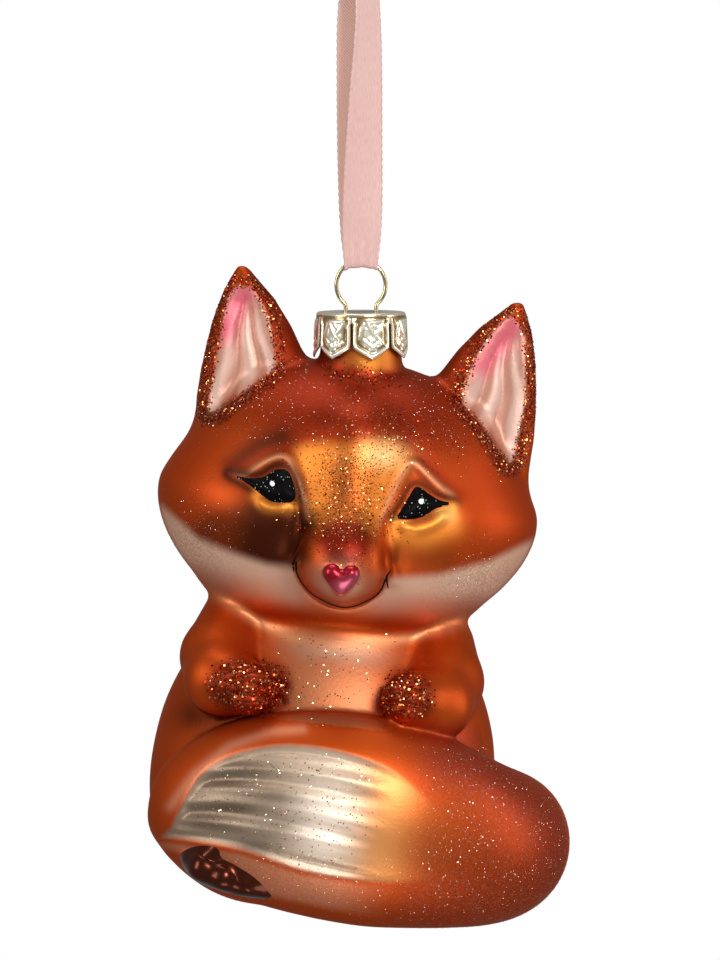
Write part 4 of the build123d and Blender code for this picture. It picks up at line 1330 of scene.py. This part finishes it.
def cloth_strip(name, rows, count, columns, edge_wave):
    """Points, faces and weave places of a ribbon that follows rows of place, half width, turn and slant."""
    rows = np.array(rows, dtype=float)
    places = spline_line(name, rows[:, :3], count)
    knots = run_along(rows[:, :3])
    shares = np.linspace(0, 1, count)
    reach = count // 30
    bell = bump(np.linspace(-2, 2, 2 * reach + 1), 1.0)
    eased = [np.convolve(np.pad(np.interp(shares, knots / knots[-1], column), reach, mode="edge"), bell / bell.sum(),
                         mode="valid") for column in rows[:, 3:].T]
    line = np.column_stack([places] + eased)
    along = unit(np.gradient(places, axis=0))
    run = run_along(places)
    across = np.stack([np.cos(line[:, 4]), np.sin(line[:, 4]), line[:, 5]], axis=1)
    across = unit(across - along * (across * along).sum(axis=1)[:, None])
    facing = np.cross(along, across)
    share = np.linspace(-1, 1, columns)
    wave = edge_wave * (np.abs(share) > 0.99) * np.sin(run[:, None] * 2 * pi / 1.1)
    wide = line[:, 3, None] * share * (1 + wave)
    lift = 0.1 * bump((np.abs(share) - 0.86) / 0.05, 1.0) - 0.06 * bump((np.abs(share) - 0.74) / 0.05, 1.0)
    points = places[:, None] + across[:, None] * wide[..., None] + facing[:, None] * lift[None, :, None]
    return points, grid_faces(count, columns), weave_places(run, share), line, run[-1]


def cloth_piece(name, points, faces, weave):
    """A ribbon piece with its thickness, satin outside and twill inside."""
    mesh = new_mesh(name, points.reshape(-1, 3) * MM, faces)
    layer = mesh.uv_layers.new(name="weave")
    layer.data.foreach_set("uv", weave[faces.ravel()].astype(np.float32).ravel())
    piece = placed(name, mesh, *satin_sides())
    thick = piece.modifiers.new("Cloth", "SOLIDIFY")
    thick.thickness = bpy.context.scene.fox_ribbon.thickness
    thick.offset = 0
    thick.material_offset = 1
    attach(piece, "ribbon")
    return piece


def make_ribbon():
    """The satin loop: down from the knot, turned out of its plane above, round the ring's wire and up behind."""
    top = RING_HIGH.z / MM - WIRE_RADIUS
    swing = SWING_Z / MM
    down = [(0.7, -1.7, 0.9, 2.5, 0.9, 0), (0.95, -3.1, -0.9, 2.95, 0.95, 0), (1.05, -3.3, -5.7, 3.0, 0.88, 0),
            (0.75, -2.75, -14.0, 3.05, 0.68, 0), (0.43, -2.25, -22.4, 3.05, 0.49, 0),
            (0.19, -1.6, -32.0, 3.05, 0.22, 0), (0.05, -1.1, top + 3.4, 2.93, 0, 0),
            (0, -0.96, top + 1.2, 2.62, 0, 0), (0, -0.94, swing - 0.05, 2.5, 0, 0)]
    turn = [(0, -0.72, swing - 0.45, 2.48, 0, 0), (0, 0.72, swing - 0.45, 2.48, 0, 0)]
    up = [(0, 0.94, swing - 0.05, 2.5, 0, 0), (0, 0.96, top + 1.2, 2.62, 0, 0), (-0.08, 1.1, top + 3.4, 2.93, 0, 0),
          (-0.3, 1.6, -32.0, 3.05, 0.06, 0), (-0.55, 2.25, -22.4, 3.05, 0.1, 0), (-0.6, 2.75, -14.0, 3.05, 0.1, 0),
          (-0.6, 3.3, -5.7, 3.05, 0.06, 0), (-0.4, 3.1, -0.9, 2.95, 0, 0), (-0.2, 1.7, 0.9, 2.5, 0, 0)]
    columns = 17
    points, faces, weave, line, length = cloth_strip("Ribbon_Route", down + turn + up, 460, columns, 0.02)
    share = np.linspace(-1, 1, columns)
    near = bump((line[:, 2] - top) / 2.6, 1.0)[:, None]
    arch = np.sqrt(np.clip(1 - (line[:, 3, None] * share / RING_RADIUS) ** 2, 0.1, 1)) - 1
    points[..., 2] += near * 0.54 * RING_RADIUS * arch + 0.06 * near * np.sin(share * 8 + 0.8)
    deep = line[:, 1, None]
    points[..., 1] += (0.14 * near * np.sin(share * 11 + 2.0) * np.sign(deep)
                       * np.clip(np.abs(deep) - 0.5, 0, 0.5) * 2)
    ribbon = cloth_piece("Ribbon_Loop", points, faces, weave)
    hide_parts("ribbon_loop")
    return ribbon, [(float(x), float(y), float(z)) for x, y, z in line[::4, :3] * MM], float(length) * MM


def make_knot():
    """Both ends tied in one wrapped knot, with two slanted tails above it."""
    count, columns = 150, 15
    wrap = np.array([(2.9 * cos(a), 1.95 * sin(a), 2.2 + 0.55 * cos(a - 0.4) + 0.12 * a, 1.9 + 0.15 * sin(3 * a))
                     for a in np.linspace(-0.7, 2 * pi + 0.5, 22)])
    places = spline_line("Wrap_Route", wrap[:, :3], count)
    half = np.interp(np.linspace(0, 1, count), np.linspace(0, 1, len(wrap)), wrap[:, 3])
    along = unit(np.gradient(places, axis=0))
    run = run_along(places)
    share = np.linspace(-1, 1, columns)
    outward = places * (1, 1, 0)
    upward = unit(np.cross(along, -outward))
    outward = unit(outward)
    belly = 0.3 * (1 - share ** 2) + 0.12 * np.sin(share * 9) - 0.35 * np.abs(share) ** 3
    points = (places[:, None] + upward[:, None] * (half[:, None] * share)[..., None]
              + outward[:, None] * (belly[None] + 0.1 * np.sin(run[:, None] * 1.7 + 4 * share))[..., None])
    parts = [(points.reshape(-1, 3), grid_faces(count, columns), weave_places(run, share))]
    for side in (-1, 1):
        rows = [(0.2, 0.5, 0.9, 2.0, 0.0, 0.0), (0.5, 0.55, 2.4, 2.1, 0.1, -0.2), (1.4, 0.45, 4.6, 2.7, 0.15, -0.44),
                (2.8, 0.5, 7.6, 3.0, 0.1, -0.44), (3.7, 0.15, 9.9, 3.0, 0.0, -0.44),
                (4.25, -0.15, 11.4, 3.0, -0.1, -0.44)]
        rows = [(side * x, side * y, z, wide, turn, side * slant) for x, y, z, wide, turn, slant in rows]
        points, faces, weave, *_ = cloth_strip("Tail_Route", rows, 60, columns, 0.03)
        parts.append((points.reshape(-1, 3), faces, weave))
    starts = np.cumsum([0] + [len(p) for p, *_ in parts])
    knot = cloth_piece("Ribbon_Knot", np.vstack([p for p, *_ in parts]),
                       np.vstack([f + s for (_, f, _), s in zip(parts, starts)]), np.vstack([w for *_, w in parts]))
    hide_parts("ribbon_knot")
    return knot


def tone(name, about, value):
    """A colour that the user may change."""
    return FloatVectorProperty(name=name, description=about, subtype="COLOR", size=3, min=0, max=1,
                               default=tuple(float(share) for share in value))


class FoxStageLook(bpy.types.PropertyGroup):
    """Light on the ornament."""
    key: FloatProperty(name="Key Light", description="Power of the large softbox; the others follow it", unit="POWER",
                       min=0, default=7.2)
    fill: FloatProperty(name="Fill", description="Strength of the light from all round", min=0, default=0.3)


class FoxGlassLook(bpy.types.PropertyGroup):
    """Lacquer on the silvered glass."""
    orange: tone("Orange", "Lacquer of the cheeks, arms and body", ORANGE)
    # the crown tone is also laid as painted shade along the lids and the right brow
    crown: tone("Crown", "Deep brown-red sprayed on the crown", CROWN_BROWN)
    gold: tone("Gold", "Thin lacquer on the bridge of the nose and the neck", GOLD)
    pale: tone("Pale", "Pale bands under the cheeks", PALE_CHEEK)
    lining: tone("Ear Lining", "Pearly inside of the ears", EAR_PINK)
    silver: tone("Silver", "Pearly field on the tail", SILVER)
    satin: FloatProperty(name="Satin", description="Roughness of the lacquer", subtype="FACTOR", min=0, max=1,
                         default=0.48)
    silvering: FloatProperty(name="Silvering", description="How metallic the glass looks", subtype="FACTOR",
                             min=0, max=1, default=0.8)


class FoxGlitterLook(bpy.types.PropertyGroup):
    """Glitter on the glass."""
    radius: FloatProperty(name="Flake Radius", description="Radius of a copper flake", unit="LENGTH", min=0.00002,
                          precision=6, default=0.00015)
    amount: FloatProperty(name="Amount", description="Share of the usual number of flakes", subtype="FACTOR",
                          min=0, max=2, default=1.0)
    seed: IntProperty(name="Seed", description="Start of the random scatter", min=0, default=3)


class FoxCapLook(bpy.types.PropertyGroup):
    """Stamped cap and spring wire."""
    sheet: FloatProperty(name="Sheet", description="Thickness of the cap's metal", unit="LENGTH", min=0.0001,
                         precision=6, default=0.00025)
    # the hollow and raised tones are painted shade and painted highlight on one plating
    hollow: tone("Hollow", "Plating in the pressed hollows", colour(150, 124, 78))
    raised: tone("Raised", "Plating on the raised lines", colour(255, 248, 224))
    wire: tone("Wire", "Plating of the spring wire", colour(240, 222, 170))


class FoxRibbonLook(bpy.types.PropertyGroup):
    """Satin ribbon."""
    thickness: FloatProperty(name="Thickness", description="Thickness of the satin", unit="LENGTH", min=0.00005,
                             precision=6, default=0.00022)
    shade: tone("Shade", "Darker threads of the smooth face", colour(196, 148, 138))
    shine: tone("Shine", "Brighter threads of the smooth face", colour(230, 192, 184))
    # the twill tones are paler than the face's, as painted light on the back strand
    twill_shade: tone("Twill Shade", "Darker threads of the back", colour(236, 172, 150))
    twill_shine: tone("Twill Shine", "Brighter threads of the back", colour(255, 226, 212))


class FOX_OT_stage(bpy.types.Operator):
    """Place the camera, the soft lights and the white background"""
    bl_idname = "fox.stage"
    bl_label = "Set Up Stage"

    def execute(self, context):
        make_stage(context.scene.fox_stage)
        return {"FINISHED"}


class FOX_OT_ribbon(bpy.types.Operator):
    """Lay the satin loop round the ring and tie its knot"""
    bl_idname = "fox.ribbon"
    bl_label = "Hang Ribbon"

    def execute(self, context):
        ribbon, path, length = make_ribbon()
        knot = make_knot()
        return {"FINISHED"}


class FOX_OT_wire(bpy.types.Operator):
    """Plate the spring wire"""
    bl_idname = "fox.wire"
    bl_label = "Plate Wire"

    def execute(self, context):
        wire = bpy.data.objects["hanger_wire"]
        wire.data.materials.clear()
        wire.data.materials.append(spring_wire(context.scene.fox_cap))
        return {"FINISHED"}


class FOX_OT_cap(bpy.types.Operator):
    """Stamp the cap with its seven petals"""
    bl_idname = "fox.cap"
    bl_label = "Stamp Cap"

    def execute(self, context):
        make_cap(context.scene.fox_cap)
        return {"FINISHED"}


class FOX_OT_glass(bpy.types.Operator):
    """Blow the fox and spray its lacquer"""
    bl_idname = "fox.glass"
    bl_label = "Blow Glass"

    def execute(self, context):
        make_glass(context.scene.fox_glass)
        return {"FINISHED"}


class FOX_OT_enamel(bpy.types.Operator):
    """Paint the eyes, nose, mouth and foot"""
    bl_idname = "fox.enamel"
    bl_label = "Paint Enamel"

    def execute(self, context):
        make_enamel()
        return {"FINISHED"}


class FOX_OT_glitter(bpy.types.Operator):
    """Scatter the glitter"""
    bl_idname = "fox.glitter"
    bl_label = "Scatter Glitter"

    def execute(self, context):
        make_glitter(context.scene.fox_glitter)
        return {"FINISHED"}


LOOKS = {"fox_stage": FoxStageLook, "fox_ribbon": FoxRibbonLook, "fox_cap": FoxCapLook, "fox_glass": FoxGlassLook,
         "fox_glitter": FoxGlitterLook}
STEPS = (FOX_OT_stage, FOX_OT_ribbon, FOX_OT_wire, FOX_OT_cap, FOX_OT_glass, FOX_OT_enamel, FOX_OT_glitter)


class FOX_PT_ornament(bpy.types.Panel):
    """Lists the steps and their settings"""
    bl_idname = "FOX_PT_ornament"
    bl_label = "Glass Fox Ornament"
    bl_space_type = "VIEW_3D"
    bl_region_type = "UI"
    bl_category = "Glass Fox"

    def draw(self, context):
        for step in STEPS:
            self.layout.operator(step.bl_idname)
        for name, look in LOOKS.items():
            box = self.layout.box()
            for field in look.__annotations__:
                box.prop(getattr(context.scene, name), field)


def register():
    """Registers the classes and gives the scene its settings."""
    for kind in (*LOOKS.values(), *STEPS, FOX_PT_ornament):
        bpy.utils.register_class(kind)
    for name, look in LOOKS.items():
        setattr(bpy.types.Scene, name, PointerProperty(type=look))


def unregister():
    """Takes the settings and the classes away again."""
    for name in LOOKS:
        delattr(bpy.types.Scene, name)
    for kind in (FOX_PT_ornament, *reversed(STEPS), *LOOKS.values()):
        bpy.utils.unregister_class(kind)


def main():
    """Registers the add-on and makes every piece."""
    register()
    for make in (bpy.ops.fox.stage, bpy.ops.fox.ribbon, bpy.ops.fox.wire, bpy.ops.fox.cap, bpy.ops.fox.glass,
                 bpy.ops.fox.enamel, bpy.ops.fox.glitter):
        make()


if __name__ == "__main__":
    main()
